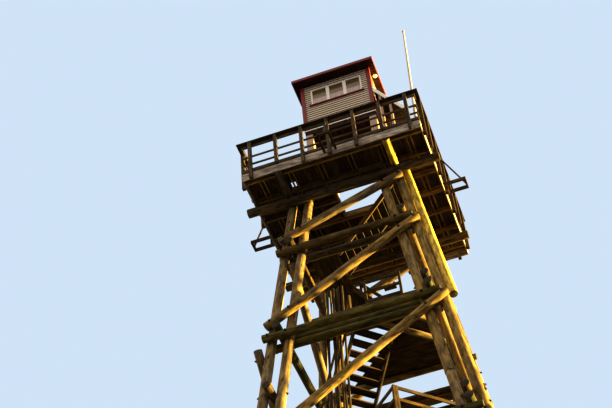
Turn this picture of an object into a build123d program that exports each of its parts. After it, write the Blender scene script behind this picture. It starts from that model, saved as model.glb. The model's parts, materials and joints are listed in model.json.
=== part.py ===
"""Log-built observation tower with a railed deck and a small raised watch cabin.

Millimetres. X runs along the front face, Y from front to rear, Z up.
The origin is on the ground at the middle of the four legs.
"""

from build123d import *
from math import pi, sqrt, tan
import os

os.makedirs("parts", exist_ok=True)

# Heights of the frame
FIRST_LEVEL = 3380.0
STOREY = 3800.0
FULL_STOREYS = 5
TOP_STOREY = 3000.0
DECK_ABOVE_LEVEL = 2520.0

# Legs
TOP_SPREAD = 1140.0
BATTER = 0.12
LEG_LOG = 225.0
LEG_JOINTS_INNER = (9900.0, 19900.0)
LEG_JOINTS_OUTER = (5900.0, 16400.0)
LAP_LOG = 200.0
LAP_FOOT = 22300.0

# Cross logs, braces and bearers
CROSS_LOG = 190.0
CROSS_END_LEFT = 360.0
CROSS_END_RIGHT = 210.0
SIDE_END = 300.0
BRACE_LOG = 205.0
BRACE_LOW = 560.0
BRACE_HIGH = 340.0
BRACE_TIP = 70.0
SIDE_BRACE_LOW = 900.0
BEARER_LOG = 160.0
BEARER_END = 150.0
BEARER_PAST_RIGHT = 270.0
BEARER_ROWS = (900.0, 1350.0, 1800.0)
SEAT = 0.3
CHANNEL_PLAY = 0.8

# Stairs below the rest floor, laid out on the diagonal of the plan
STAIR_TURN = -45.0
HALF_RUN = 800.0
FLIGHT_WIDTH = 1000.0
WELL = 100.0
STRING_THICKNESS = 40.0
STRING_BELOW = 150.0
STRING_ABOVE = 60.0
TREAD_THICKNESS = 40.0
NOSING = 30.0
RISERS = 10
LANDING_DEPTH = 1100.0
LANDING_HALF = 1000.0
FLOOR_BOARD = 40.0

# Rest floor and the two flights above it
REST_LEFT = -250.0
REST_RIGHT = 1590.0
REST_FRONT = -1600.0
REST_REAR = 980.0
REST_WELL_HALF = 560.0
REST_ROWS = (1070.0, 1570.0, 2100.0)
BEARER_CLEAR = 20.0
ROW_SETBACK = 20.0
REST_BEARER_END = 2150.0
KERB_ENDS = (-1100.0, 1450.0)
KERB_LOG = 150.0
REST_RAIL = (200.0, 1040.0)
RETURN_START = 1380.0
RETURN_Y = 550.0
RETURN_WIDTH = 800.0
RETURN_RISERS = 14
TOP_LANDING_EDGE = -450.0
TOP_LANDING_WALL = -1120.0
TOP_FLIGHT_RISERS = 12
TOP_FLIGHT_Y = -500.0
TOP_FLIGHT_WIDTH = 800.0
STAIR_RAIL_HEIGHT = 1000.0
STAIR_RAIL_POST = 60.0
STAIR_RAIL_BOARD = 85.0
STAIR_RAIL_THICKNESS = 32.0
LANDING_BOARDS = (0.38, 0.68, 1.0)
FLIGHT_BOARDS = (0.55, 1.0)

# Bundle of thin poles that leans on the front of the rest floor
POLE_STICK = 52.0
POLE_FEET = (-980.0, -905.0, -820.0, -745.0, -660.0, -585.0, -510.0)
POLE_TIPS = (-700.0, -800.0, -560.0, -655.0, -440.0, -500.0, -345.0)
POLE_FOOT_Z = 19250.0
POLE_TIP_Z = 23950.0

# Deck
DECK_HALF = 2355.0
DECK_BOARD = 40.0
JOIST_DEPTH = 160.0
JOIST_WIDTH = 60.0
JOIST_SPACING = 700.0
DECK_BEARER_LOG = 200.0
DECK_BEARER_X = 1420.0
DECK_LOG = 230.0
DECK_LOG_HALF = 2550.0
FASCIA_HEIGHT = 270.0
FASCIA_THICKNESS = 30.0
FASCIA_TOP_BELOW = 5.0
CORNER_GAP = 4.0
HATCH_START = -300.0
HATCH_Y = (-950.0, -100.0)
BROKEN_BOARD = (-1240.0, -1530.0, 130.0, 170.0)

# Railing round the deck
RAIL_HEIGHT = 1100.0
POST_SPACING = 700.0
POST_SIZE = 90.0
POST_FOOT = 20.0
SHORT_POSTS = (-2, 2)
CAP_WIDTH = 140.0
CAP_THICKNESS = 35.0
CAP_PROUD = 10.0
TOP_BOARD = 110.0
MID_RAIL = 55.0
BOTTOM_RAIL = 100.0
RAIL_THICKNESS = 35.0
MID_RAIL_HEIGHTS = (280.0, 580.0)

# Outriggers at the middle of each side
OUTRIGGER_TIP = 2950.0
OUTRIGGER_WIDE = 50.0
OUTRIGGER_DEEP = 100.0
OUTRIGGER_SPREAD = 150.0
OUTRIGGER_BELOW = 140.0
STRUT_SIZE = 50.0

# Watch cabin
CABIN_CENTRE_X = 100.0
CABIN_WIDTH = 2000.0
CABIN_DEPTH = 2300.0
CABIN_CLEAR_BELOW = 2250.0
CABIN_FLOOR = 150.0
CABIN_WALL_HEIGHT = 2000.0
CABIN_WALL = 100.0
CABIN_POST = 200.0
WINDOW_WIDTH = 1480.0
WINDOW_SILL = 1080.0
WINDOW_HEIGHT = 720.0
WINDOW_FRAME = 50.0
MULLION = 100.0
FRAME_DEPTH = 70.0
GLASS = 6.0
DOOR_WIDTH = 700.0
DOOR_HEIGHT = 1850.0
DOOR_X = 450.0
DOOR_FRAME = 50.0
DOOR_LEAF = 40.0
CORNER_BOARD = 90.0
CORNER_THICKNESS = 20.0
BASE_TRIM = 35.0
ROOF_SIDE_OVERHANG = 165.0
ROOF_END_OVERHANG = 245.0
ROOF_EDGE = 70.0
ROOF_FALL = 60.0
ROOF_FASCIA = 25.0
ROOF_FASCIA_HEIGHT = 100.0
LAMP_DEPTH = 70.0

# Hood over the stair head
HOOD_TOP = 940.0
HOOD_RUN = 780.0
HOOD_DROP = 1240.0
HOOD_REAR = 100.0
HOOD_BOARD = 30.0
HOOD_POST = 70.0
HOOD_POSTS_X = (1280.0, 1520.0)
VERGE = 90.0
VERGE_THICKNESS = 30.0

# Flagpole
POLE_RADIUS = 38.0
POLE_FOOT_AT = (2200.0, -1950.0)
POLE_TIP_AT = (2370.0, -2000.0)
POLE_HEIGHT = 4350.0
POLE_PLATE = 130.0

# Worked out from the sizes above
LEVELS = [FIRST_LEVEL + STOREY * n for n in range(FULL_STOREYS + 1)]
LEVELS.append(LEVELS[-1] + TOP_STOREY)
REST_LEVEL = LEVELS[-2]
TOP_LEVEL = LEVELS[-1]
DECK_TOP = TOP_LEVEL + DECK_ABOVE_LEVEL
JOIST_TOP = DECK_TOP - DECK_BOARD
BEARER_TOP = JOIST_TOP - JOIST_DEPTH
LEG_TOP = BEARER_TOP - DECK_BEARER_LOG
DECK_LOG_Z = LEG_TOP - DECK_LOG / 2
LEAN = sqrt(1 + BATTER**2)
FLAT = tan(pi / 8)
CHANNEL = CROSS_LOG * (1 + BATTER * FLAT) + 2 * CHANNEL_PLAY
PAIR = (LEG_LOG * LEAN + CHANNEL) / 2
DIAGONAL = sqrt(0.5)
SIDE_LOG_LIFT = CROSS_LOG
BEARER_LIFT = 1.5 * CROSS_LOG + BEARER_LOG / 2
UPPER_SIDE_LIFT = BEARER_LIFT + BEARER_LOG / 2 + CROSS_LOG / 2
FLOOR_LIFT = BEARER_LIFT + BEARER_LOG / 2 + FLOOR_BOARD
MAIN_FLOORS = [level + FLOOR_LIFT for level in LEVELS[:-1]]
REST_FLOOR = MAIN_FLOORS[-1]
MID_FLOORS = [MAIN_FLOORS[0] / 2]
MID_FLOORS += [(low + high) / 2 for low, high in zip(MAIN_FLOORS, MAIN_FLOORS[1:])]
MID_LOG_DROP = FLOOR_BOARD + BEARER_LOG + CROSS_LOG / 2
GROUND = Plane.XY


def spread(z):
    """Half distance between the middles of two leg pairs at height z."""
    return TOP_SPREAD + BATTER * (DECK_TOP - z)


def outer_line(z, thickness):
    """Middle of a level log whose flat lies against the outside of the legs."""
    return spread(z - thickness * FLAT / 2) + LEG_LOG / 2 * LEAN + SEAT + thickness / 2


def inner_line(z, thickness):
    """Middle of a level log whose flat lies against the inside of the legs."""
    return spread(z + thickness * FLAT / 2) - LEG_LOG / 2 * LEAN - SEAT - thickness / 2


def on_diagonal(t, n, z):
    """Point given along (t) and across (n) the diagonal on which the lower stairs run."""
    return ((t + n) * DIAGONAL, (n - t) * DIAGONAL, z)


def stick(start, end, up, width, depth, sides=4):
    """Straight timber from start to end: a hewn log with eight sides, or a sawn bar."""
    run = Vector(*end) - Vector(*start)
    plane = Plane(origin=Vector(*start), x_dir=Vector(*up).cross(run), z_dir=run)
    with BuildSketch(plane) as profile:
        if sides == 4:
            Rectangle(width, depth)
        else:
            RegularPolygon(width / 2, sides, major_radius=False, rotation=180 / sides)
    return extrude(profile.sketch, amount=run.length, mode=Mode.PRIVATE)


def log(start, end, thickness, up=(0, 0, 1)):
    return stick(start, end, up, thickness, thickness, sides=8)


def bar(start, end, width, depth, up=(0, 0, 1)):
    """Sawn bar: depth is measured towards up, width across it."""
    return stick(start, end, up, width, depth)


def finish(node, label):
    node.part.label = label
    export_step(node.part, f"parts/{label}.step")


# Legs: two parallel logs in spliced lengths, cut level at the ground and under the deck
def leg_line(side_x, side_y, offset, joints, thickness, foot):
    """Logs of one leg line, end to end, from foot to the top."""
    ends = [foot, *joints, LEG_TOP + LEG_LOG]
    points = [(side_x * (spread(z) + offset), side_y * spread(z), z) for z in ends]
    facing = (0, side_y, BATTER)
    return [log(low, high, thickness, up=facing) for low, high in zip(points, points[1:])]


legs = {}
for name, side_x, side_y in (
    ("leg_front_left", -1, -1),
    ("leg_front_right", 1, -1),
    ("leg_rear_left", -1, 1),
    ("leg_rear_right", 1, 1),
):
    with BuildPart() as legs[name]:
        add(leg_line(side_x, side_y, -PAIR, LEG_JOINTS_INNER, LEG_LOG, -LEG_LOG))
        add(leg_line(side_x, side_y, PAIR, LEG_JOINTS_OUTER, LEG_LOG, -LEG_LOG))
        split(bisect_by=GROUND, keep=Keep.TOP)
        split(bisect_by=GROUND.offset(LEG_TOP), keep=Keep.BOTTOM)
    finish(legs[name], name)

# One more log lapped on the outside of the front right leg
LAP_OFFSET = PAIR + (LEG_LOG + LAP_LOG) / 2 * LEAN + 2 * SEAT
with BuildPart() as lap_log:
    add(leg_line(1, -1, LAP_OFFSET, (), LAP_LOG, LAP_FOOT))
    split(bisect_by=GROUND.offset(LEG_TOP), keep=Keep.BOTTOM)
finish(lap_log, "lap_log")


# Logs along X: outside and inside the legs at every level
def cross_log(z, y, half_length, thickness):
    return log((-half_length, y, z), (half_length, y, z), thickness)


def outer_log(z, side_y):
    """Outside log, its left end run further past the legs than its right end."""
    y = side_y * outer_line(z, CROSS_LOG)
    return log((-spread(z) - CROSS_END_LEFT, y, z), (spread(z) + CROSS_END_RIGHT, y, z), CROSS_LOG)


def inner_half(z):
    """Half length of an inside log, cut flush with the outer logs of the legs."""
    return spread(z) + PAIR + LEG_LOG / 2


def between_side_logs(z):
    """Half length of a log that stops just short of the side logs."""
    return spread(z) - CROSS_LOG / 2 - CHANNEL_PLAY


with BuildPart() as front_cross_logs:
    add([outer_log(z, -1) for z in LEVELS])
finish(front_cross_logs, "front_cross_logs")

with BuildPart() as rear_cross_logs:
    add([outer_log(z, 1) for z in LEVELS])
finish(rear_cross_logs, "rear_cross_logs")

with BuildPart() as inner_cross_logs:
    logs = []
    for z in LEVELS:
        for side_y in (-1, 1):
            logs.append(cross_log(z, side_y * inner_line(z, CROSS_LOG), inner_half(z), CROSS_LOG))
    add(logs)
finish(inner_cross_logs, "inner_cross_logs")

with BuildPart() as upper_inner_logs:
    logs = []
    for level in LEVELS[:-1]:
        z = level + SIDE_LOG_LIFT
        for side_y in (-1, 1):
            logs.append(cross_log(z, side_y * inner_line(z, CROSS_LOG), between_side_logs(z), CROSS_LOG))
    add(logs)
finish(upper_inner_logs, "upper_inner_logs")

with BuildPart() as mid_cross_logs:
    logs = []
    for floor in MID_FLOORS:
        z = floor - MID_LOG_DROP
        y = inner_line(z, CROSS_LOG)
        logs.append(log((-between_side_logs(z), y, z), (inner_half(z), y, z), CROSS_LOG))
    add(logs)
finish(mid_cross_logs, "mid_cross_logs")


# Logs along Y, held between the two logs of each leg
def side_log(side_x, z):
    half = spread(z) + LEG_LOG / 2 * LEAN + SIDE_END
    x = side_x * spread(z)
    return log((x, -half, z), (x, half, z), CROSS_LOG)


with BuildPart() as left_side_logs:
    heights = [level + SIDE_LOG_LIFT for level in LEVELS] + [floor - MID_LOG_DROP for floor in MID_FLOORS]
    add([side_log(-1, z) for z in heights])
finish(left_side_logs, "left_side_logs")

with BuildPart() as right_side_logs:
    heights = [level + SIDE_LOG_LIFT for level in LEVELS] + [level + UPPER_SIDE_LIFT for level in LEVELS[:-1]]
    add([side_log(1, z) for z in heights])
finish(right_side_logs, "right_side_logs")

# Braces: one log a bay on each face, flat on the outside of the legs
BRACE_BAYS = list(zip([0.0] + LEVELS[:-1], LEVELS))
TOP_BAY = (TOP_LEVEL, DECK_LOG_Z)
BRACE_OUT = (LEG_LOG / 2 + BRACE_LOG / 2) * LEAN + SEAT


def face_brace(low, high, side_y):
    """Brace of the front or rear face, rising from left to right."""
    left = -spread(low) - PAIR - BRACE_TIP
    right = spread(high) + PAIR + LEG_LOG / 2
    slope = (high - BRACE_HIGH - low - BRACE_LOW) / (spread(low) + spread(high))
    start_z = low + BRACE_LOW - slope * (PAIR + BRACE_TIP)
    end_z = high - BRACE_HIGH + slope * (PAIR + LEG_LOG / 2)
    start = (left, side_y * (spread(start_z) + BRACE_OUT), start_z)
    end = (right, side_y * (spread(end_z) + BRACE_OUT), end_z)
    return log(start, end, BRACE_LOG, up=(0, side_y, BATTER))


with BuildPart() as face_braces:
    for side_y in (-1, 1):
        add([face_brace(low, high, side_y) for low, high in BRACE_BAYS + [TOP_BAY]])
finish(face_braces, "face_braces")


def side_brace(low, high, side_x, out, past, thickness):
    """Brace of a side face, rising from the rear to the front."""
    start_z = low + SIDE_BRACE_LOW
    end_z = high - BRACE_HIGH
    start = (side_x * (spread(start_z) + out), spread(start_z) + past, start_z)
    end = (side_x * (spread(end_z) + out), -spread(end_z) - past, end_z)
    return log(start, end, thickness, up=(side_x, 0, BATTER))


CHANNEL_FIT = CHANNEL / LEAN - 2 * SEAT
with BuildPart() as side_braces:
    for side_x in (-1, 1):
        outside = BRACE_BAYS[:-1] if side_x < 0 else BRACE_BAYS[:1]
        in_channel = BRACE_BAYS[len(outside):]
        logs = [side_brace(low, high, side_x, PAIR + BRACE_OUT, LEG_LOG, BRACE_LOG) for low, high in outside]
        logs += [side_brace(low, high, side_x, 0, LEG_LOG / 4, CHANNEL_FIT) for low, high in in_channel]
        add(logs)
finish(side_braces, "side_braces")


# Bearers of the landings, laid across the diagonal from a face to its neighbour
def diagonal_bearer(t, z, side):
    """side 1: front right corner. side -1: rear left corner."""
    to_cross_log = (inner_line(z, CROSS_LOG) + BEARER_END) / DIAGONAL - t
    past = BEARER_PAST_RIGHT if side > 0 else BEARER_END
    to_side_log = (spread(z) + past) / DIAGONAL - t
    start = on_diagonal(side * t, -side * to_cross_log, z)
    end = on_diagonal(side * t, side * to_side_log, z)
    return log(start, end, BEARER_LOG)


LANDING_SETS = ((MAIN_FLOORS[:-1], 1), (MID_FLOORS, -1))
BEARER_DROP = FLOOR_BOARD + BEARER_LOG / 2
with BuildPart() as landing_bearers:
    logs = []
    for floors, side in LANDING_SETS:
        for floor in floors:
            logs += [diagonal_bearer(t, floor - BEARER_DROP, side) for t in BEARER_ROWS]
    add(logs)
finish(landing_bearers, "landing_bearers")

with BuildPart() as landing_floors:
    spots = []
    for floors, side in LANDING_SETS:
        for floor in floors:
            middle = on_diagonal(side * (HALF_RUN + LANDING_DEPTH / 2), 0, floor - FLOOR_BOARD / 2)
            spots.append(Location(middle, (0, 0, STAIR_TURN)))
    with Locations(*spots):
        Box(LANDING_DEPTH, 2 * LANDING_HALF, FLOOR_BOARD)
finish(landing_floors, "landing_floors")

# Rest floor: a bearer along X at the front and the rear, three across the diagonal, the floor and its kerb
REST_Z = REST_FLOOR - BEARER_DROP
REST_FRONT_ROW = REST_FRONT + BEARER_LOG / 2 + ROW_SETBACK
REST_REAR_ROW = REST_REAR - BEARER_LOG / 2 - ROW_SETBACK
with BuildPart() as rest_floor_bearers:
    left_end = -spread(REST_Z) - BEARER_END
    flank = (REST_ROWS[0] - BEARER_LOG / 2) / DIAGONAL
    front_end = REST_FRONT_ROW - BEARER_LOG / 2 + flank - BEARER_CLEAR
    logs = [
        log((left_end, REST_FRONT_ROW, REST_Z), (front_end, REST_FRONT_ROW, REST_Z), BEARER_LOG),
        log((left_end, REST_REAR_ROW, REST_Z), (REST_BEARER_END, REST_REAR_ROW, REST_Z), BEARER_LOG),
    ]
    logs += [diagonal_bearer(t, REST_Z, 1) for t in REST_ROWS]
    add(logs)
finish(rest_floor_bearers, "rest_floor_bearers")


def slab(outline, top, thickness):
    with BuildSketch(GROUND.offset(top - thickness)) as area:
        Polygon(*outline, align=None)
    extrude(area.sketch, amount=thickness)


with BuildPart() as rest_floor:
    well_rear = REST_WELL_HALF - FLIGHT_WIDTH / 2 - WELL / 2
    well_front = well_rear - 2 * REST_WELL_HALF
    slab(
        (
            (REST_LEFT, REST_FRONT),
            (REST_RIGHT, REST_FRONT),
            (REST_RIGHT, REST_REAR),
            (well_rear / DIAGONAL - REST_REAR, REST_REAR),
            on_diagonal(HALF_RUN, well_rear, 0)[:2],
            on_diagonal(HALF_RUN, well_front, 0)[:2],
            (REST_LEFT, well_front / DIAGONAL - REST_LEFT),
        ),
        REST_FLOOR,
        FLOOR_BOARD,
    )
finish(rest_floor, "rest_floor")

with BuildPart() as rest_floor_kerb:
    z = REST_FLOOR + KERB_LOG / 2
    y = REST_FRONT + KERB_LOG / 2
    add(log((KERB_ENDS[0], y, z), (KERB_ENDS[1], y, z), KERB_LOG))
finish(rest_floor_kerb, "rest_floor_kerb")

TOP_LANDING = TOP_LEVEL + CROSS_LOG / 2 + FLOOR_BOARD
TOP_LANDING_HALF = inner_line(TOP_LEVEL, CROSS_LOG)
with BuildPart() as top_landing:
    half = TOP_LANDING_HALF
    slab(
        (
            (TOP_LANDING_WALL, -half),
            (TOP_LANDING_EDGE, -half),
            (TOP_LANDING_EDGE, half),
            (TOP_LANDING_WALL, half),
        ),
        TOP_LANDING,
        FLOOR_BOARD,
    )
finish(top_landing, "top_landing")

# Stair flights: (low floor, high floor, run from, run to, middle, width, risers, diagonal)
LANE = (FLIGHT_WIDTH + WELL) / 2
BEARER_FACE = DECK_BEARER_X - DECK_BEARER_LOG / 2
LOWER_FLIGHTS = []
for below, mid, above in zip([0.0] + MAIN_FLOORS[:-1], MID_FLOORS, MAIN_FLOORS):
    LOWER_FLIGHTS.append((below, mid, HALF_RUN, -HALF_RUN, LANE, FLIGHT_WIDTH, RISERS, True))
    LOWER_FLIGHTS.append((mid, above, -HALF_RUN, HALF_RUN, -LANE, FLIGHT_WIDTH, RISERS, True))
RETURN_FLIGHT = (REST_FLOOR, TOP_LANDING, RETURN_START, TOP_LANDING_EDGE, RETURN_Y, RETURN_WIDTH,
                 RETURN_RISERS, False)
TOP_FLIGHT = (TOP_LANDING, DECK_TOP, TOP_LANDING_EDGE, BEARER_FACE, TOP_FLIGHT_Y, TOP_FLIGHT_WIDTH,
              TOP_FLIGHT_RISERS, False)


def strings(low, high, run_from, run_to, middle, width, risers, diagonal):
    """The two strings of a flight, cut plumb at both ends and level on a floor."""
    rise = (high - low) / risers
    start_z = low + rise / 2
    end_z = high - rise / 2
    forward = Vector(*on_diagonal(1, 0, 0)) if diagonal else Vector(1, 0, 0)
    across = Vector(*on_diagonal(0, 1, 0)) if diagonal else Vector(0, 1, 0)
    foot = max(start_z - STRING_BELOW, low)
    level_run = run_from + (run_to - run_from) * (foot - start_z + STRING_BELOW) / (end_z - start_z)
    outline = [(run_from, start_z + STRING_ABOVE), (run_from, foot)]
    if level_run != run_from:
        outline.append((level_run, foot))
    outline += [(run_to, end_z - STRING_BELOW), (run_to, end_z + STRING_ABOVE)]
    made = []
    for edge in (middle - width / 2, middle + width / 2 - STRING_THICKNESS):
        side = Plane(origin=across * edge, x_dir=forward, z_dir=-across)
        with BuildSketch(side) as profile:
            Polygon(*outline, align=None)
        made.append(extrude(profile.sketch, amount=-STRING_THICKNESS, mode=Mode.PRIVATE))
    return made


def tread_places(low, high, run_from, run_to, middle, width, risers, diagonal):
    """Locations of a flight's treads, and the size of one."""
    rise = (high - low) / risers
    going = (run_to - run_from) / (risers - 1)
    direction = 1 if run_to > run_from else -1
    places = []
    for step in range(1, risers):
        along = run_from + going * (step - 0.5) - direction * NOSING / 2
        z = low + rise * step - TREAD_THICKNESS / 2
        spot = on_diagonal(along, middle, z) if diagonal else (along, middle, z)
        places.append(Location(spot, (0, 0, STAIR_TURN if diagonal else 0)))
    return places, (abs(going) + NOSING, width - 2 * STRING_THICKNESS, TREAD_THICKNESS)


with BuildPart() as lower_strings:
    made = []
    for flight in LOWER_FLIGHTS:
        made += strings(*flight)
    add(made)
finish(lower_strings, "lower_strings")

with BuildPart() as upper_strings:
    add(strings(*RETURN_FLIGHT) + strings(*TOP_FLIGHT))
finish(upper_strings, "upper_strings")

with BuildPart() as lower_treads:
    places = []
    for flight in LOWER_FLIGHTS:
        spots, size = tread_places(*flight)
        places += spots
    with Locations(*places):
        Box(*size)
finish(lower_treads, "lower_treads")

with BuildPart() as upper_treads:
    for flight in (RETURN_FLIGHT, TOP_FLIGHT):
        spots, size = tread_places(*flight)
        with Locations(*spots):
            Box(*size)
finish(upper_treads, "upper_treads")


# Rails of the landings and flights
def rail_panel(start, end, boards, height=STAIR_RAIL_HEIGHT):
    """Two posts and their boards, along a level or sloping line of feet."""
    start = Vector(*start)
    along = Vector(*end) - start
    flat_run = (along.X, along.Y, 0)
    pieces = []
    for foot in (start, start + along):
        head = foot + Vector(0, 0, height)
        pieces.append(bar(tuple(foot), tuple(head), STAIR_RAIL_POST, STAIR_RAIL_POST, up=flat_run))
    for part_way in boards:
        lift = Vector(0, 0, height * part_way - STAIR_RAIL_BOARD / 2)
        low = tuple(start + lift)
        high = tuple(start + along + lift)
        pieces.append(bar(low, high, STAIR_RAIL_THICKNESS, STAIR_RAIL_BOARD))
    return pieces


POST_INSET = STAIR_RAIL_POST / 2
with BuildPart() as landing_rails:
    pieces = []
    for floors, side in LANDING_SETS:
        for floor in floors:
            far = side * (HALF_RUN + LANDING_DEPTH - POST_INSET)
            near = side * (HALF_RUN + POST_INSET)
            edge = LANDING_HALF - POST_INSET
            inner = edge - STAIR_RAIL_POST - CORNER_GAP
            pieces += rail_panel(on_diagonal(far, -inner, floor), on_diagonal(far, inner, floor), LANDING_BOARDS)
            for n in (-edge, edge):
                pieces += rail_panel(on_diagonal(near, n, floor), on_diagonal(far, n, floor), LANDING_BOARDS)
    y = REST_FRONT + KERB_LOG + POST_INSET + SEAT
    pieces += rail_panel((REST_RAIL[0], y, REST_FLOOR), (REST_RAIL[1], y, REST_FLOOR), LANDING_BOARDS)
    add(pieces)
finish(landing_rails, "landing_rails")


def flight_rail(low, high, run_from, run_to, middle, width, risers, diagonal):
    """Rail beside the outer string, its posts bolted to the string's outside face."""
    out = 1 if middle > 0 else -1
    n = middle + out * (width / 2 + POST_INSET)
    rise = (high - low) / risers
    slope = (high - low - rise) / abs(run_to - run_from)
    direction = 1 if run_to > run_from else -1
    inset = POST_INSET + 3 * CORNER_GAP
    start = (run_from + direction * inset, n, low + rise / 2 + slope * inset - STRING_ABOVE)
    end = (run_to - direction * inset, n, high - rise / 2 - slope * inset - STRING_ABOVE)
    if diagonal:
        return rail_panel(on_diagonal(*start), on_diagonal(*end), FLIGHT_BOARDS)
    return rail_panel(start, end, FLIGHT_BOARDS)


with BuildPart() as flight_rails:
    pieces = []
    for flight in LOWER_FLIGHTS[1:] + [RETURN_FLIGHT]:
        pieces += flight_rail(*flight)
    add(pieces)
finish(flight_rails, "flight_rails")

with BuildPart() as pole_bundle:
    front_row = REST_FRONT_ROW + BEARER_LOG / 2 + POLE_STICK / 2 + SEAT
    poles = []
    for n, (foot, tip) in enumerate(zip(POLE_FEET, POLE_TIPS)):
        y = front_row + (n % 2) * (POLE_STICK + SEAT)
        poles.append(log((foot, y, POLE_FOOT_Z), (tip, y, POLE_TIP_Z), POLE_STICK, up=(0, 1, 0)))
    add(poles)
finish(pole_bundle, "pole_bundle")

# Deck: logs along X on the legs, bearers along Y, joists along X, boards along Y
with BuildPart() as deck_logs:
    y = outer_line(DECK_LOG_Z, DECK_LOG)
    add([cross_log(DECK_LOG_Z, side_y * y, DECK_LOG_HALF, DECK_LOG) for side_y in (-1, 1)])
finish(deck_logs, "deck_logs")

DECK_INNER = DECK_HALF - FASCIA_THICKNESS
with BuildPart() as deck_bearers:
    z = BEARER_TOP - DECK_BEARER_LOG / 2
    add([log((x, -DECK_INNER, z), (x, DECK_INNER, z), DECK_BEARER_LOG) for x in (-DECK_BEARER_X, DECK_BEARER_X)])
finish(deck_bearers, "deck_bearers")

JOIST_Z = JOIST_TOP - JOIST_DEPTH / 2
HATCH_X = (HATCH_START, BEARER_FACE)
HATCH_MIDDLE = ((HATCH_X[0] + HATCH_X[1]) / 2, (HATCH_Y[0] + HATCH_Y[1]) / 2)
with BuildPart() as deck_joists:
    joists = int((DECK_INNER - JOIST_WIDTH) // JOIST_SPACING)
    rows = [(0, JOIST_SPACING * n, JOIST_Z) for n in range(-joists, joists + 1)]
    rows += [(0, HATCH_Y[0] - JOIST_WIDTH / 2, JOIST_Z), (0, HATCH_Y[1] + JOIST_WIDTH / 2, JOIST_Z)]
    with Locations(*rows):
        Box(2 * DECK_INNER, JOIST_WIDTH, JOIST_DEPTH)
    with Locations((HATCH_MIDDLE[0], HATCH_MIDDLE[1], JOIST_Z)):
        clear = (HATCH_X[1] - HATCH_X[0], HATCH_Y[1] - HATCH_Y[0])
        Box(clear[0] + 2 * JOIST_WIDTH, clear[1], JOIST_DEPTH)
        Box(*clear, JOIST_DEPTH, mode=Mode.SUBTRACT)
finish(deck_joists, "deck_joists")

with BuildPart() as deck_floor:
    with BuildSketch(GROUND.offset(JOIST_TOP)) as boards:
        Rectangle(2 * DECK_HALF, 2 * DECK_HALF)
        with Locations(HATCH_MIDDLE):
            Rectangle(*clear, mode=Mode.SUBTRACT)
        with Locations(BROKEN_BOARD[:2]):
            Rectangle(*BROKEN_BOARD[2:], mode=Mode.SUBTRACT)
    extrude(amount=DECK_BOARD)
finish(deck_floor, "deck_floor")

FASCIA_Z = JOIST_TOP - FASCIA_TOP_BELOW - FASCIA_HEIGHT / 2
with BuildPart() as deck_fascia:
    middle = DECK_HALF - FASCIA_THICKNESS / 2
    with Locations((0, -middle, FASCIA_Z), (0, middle, FASCIA_Z)):
        Box(2 * DECK_HALF, FASCIA_THICKNESS, FASCIA_HEIGHT)
    with Locations((-middle, 0, FASCIA_Z), (middle, 0, FASCIA_Z)):
        Box(FASCIA_THICKNESS, 2 * (DECK_INNER - CORNER_GAP), FASCIA_HEIGHT)
finish(deck_fascia, "deck_fascia")


# Railing panels round the deck
def railing(turn, rail_half):
    """Posts outside the fascia and boards on their inner side, turned about Z to one face."""
    cap_bottom = DECK_TOP + RAIL_HEIGHT - CAP_THICKNESS
    fascia_top = FASCIA_Z + FASCIA_HEIGHT / 2
    fascia_bottom = FASCIA_Z - FASCIA_HEIGHT / 2
    blocks = []
    posts = int((DECK_HALF - POST_SIZE) // POST_SPACING)
    for n in range(-posts, posts + 1):
        foot = fascia_top if n in SHORT_POSTS else fascia_bottom - POST_FOOT
        middle = (n * POST_SPACING, -DECK_HALF - POST_SIZE / 2, (foot + cap_bottom) / 2)
        blocks.append((middle, (POST_SIZE, POST_SIZE, cap_bottom - foot)))
    boards = [(cap_bottom - TOP_BOARD / 2, TOP_BOARD), (DECK_TOP + BOTTOM_RAIL / 2, BOTTOM_RAIL)]
    boards += [(DECK_TOP + z, MID_RAIL) for z in MID_RAIL_HEIGHTS]
    for z, height in boards:
        middle = (0, -DECK_HALF + RAIL_THICKNESS / 2, z)
        blocks.append((middle, (2 * rail_half, RAIL_THICKNESS, height)))
    made = []
    for middle, size in blocks:
        with Locations(Location((0, 0, 0), (0, 0, turn)) * Location(middle)):
            made.append(Box(*size, mode=Mode.PRIVATE))
    return made


railings = {}
for name, turn in (("railing_front", 0), ("railing_right", 90), ("railing_rear", 180), ("railing_left", 270)):
    with BuildPart() as railings[name]:
        rail_half = DECK_HALF if turn % 180 == 0 else DECK_HALF - RAIL_THICKNESS - CORNER_GAP
        add(railing(turn, rail_half))
    finish(railings[name], name)

CAP_Z = DECK_TOP + RAIL_HEIGHT - CAP_THICKNESS / 2
CAP_MIDDLE = DECK_HALF + POST_SIZE + CAP_PROUD - CAP_WIDTH / 2
with BuildPart() as handrail_caps:
    cap_half = CAP_MIDDLE + CAP_WIDTH / 2
    with Locations((0, -CAP_MIDDLE, CAP_Z), (0, CAP_MIDDLE, CAP_Z)):
        Box(2 * cap_half, CAP_WIDTH, CAP_THICKNESS)
    with Locations((-CAP_MIDDLE, 0, CAP_Z), (CAP_MIDDLE, 0, CAP_Z)):
        Box(CAP_WIDTH, 2 * (CAP_MIDDLE - CAP_WIDTH / 2 - CORNER_GAP), CAP_THICKNESS)
finish(handrail_caps, "handrail_caps")


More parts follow.
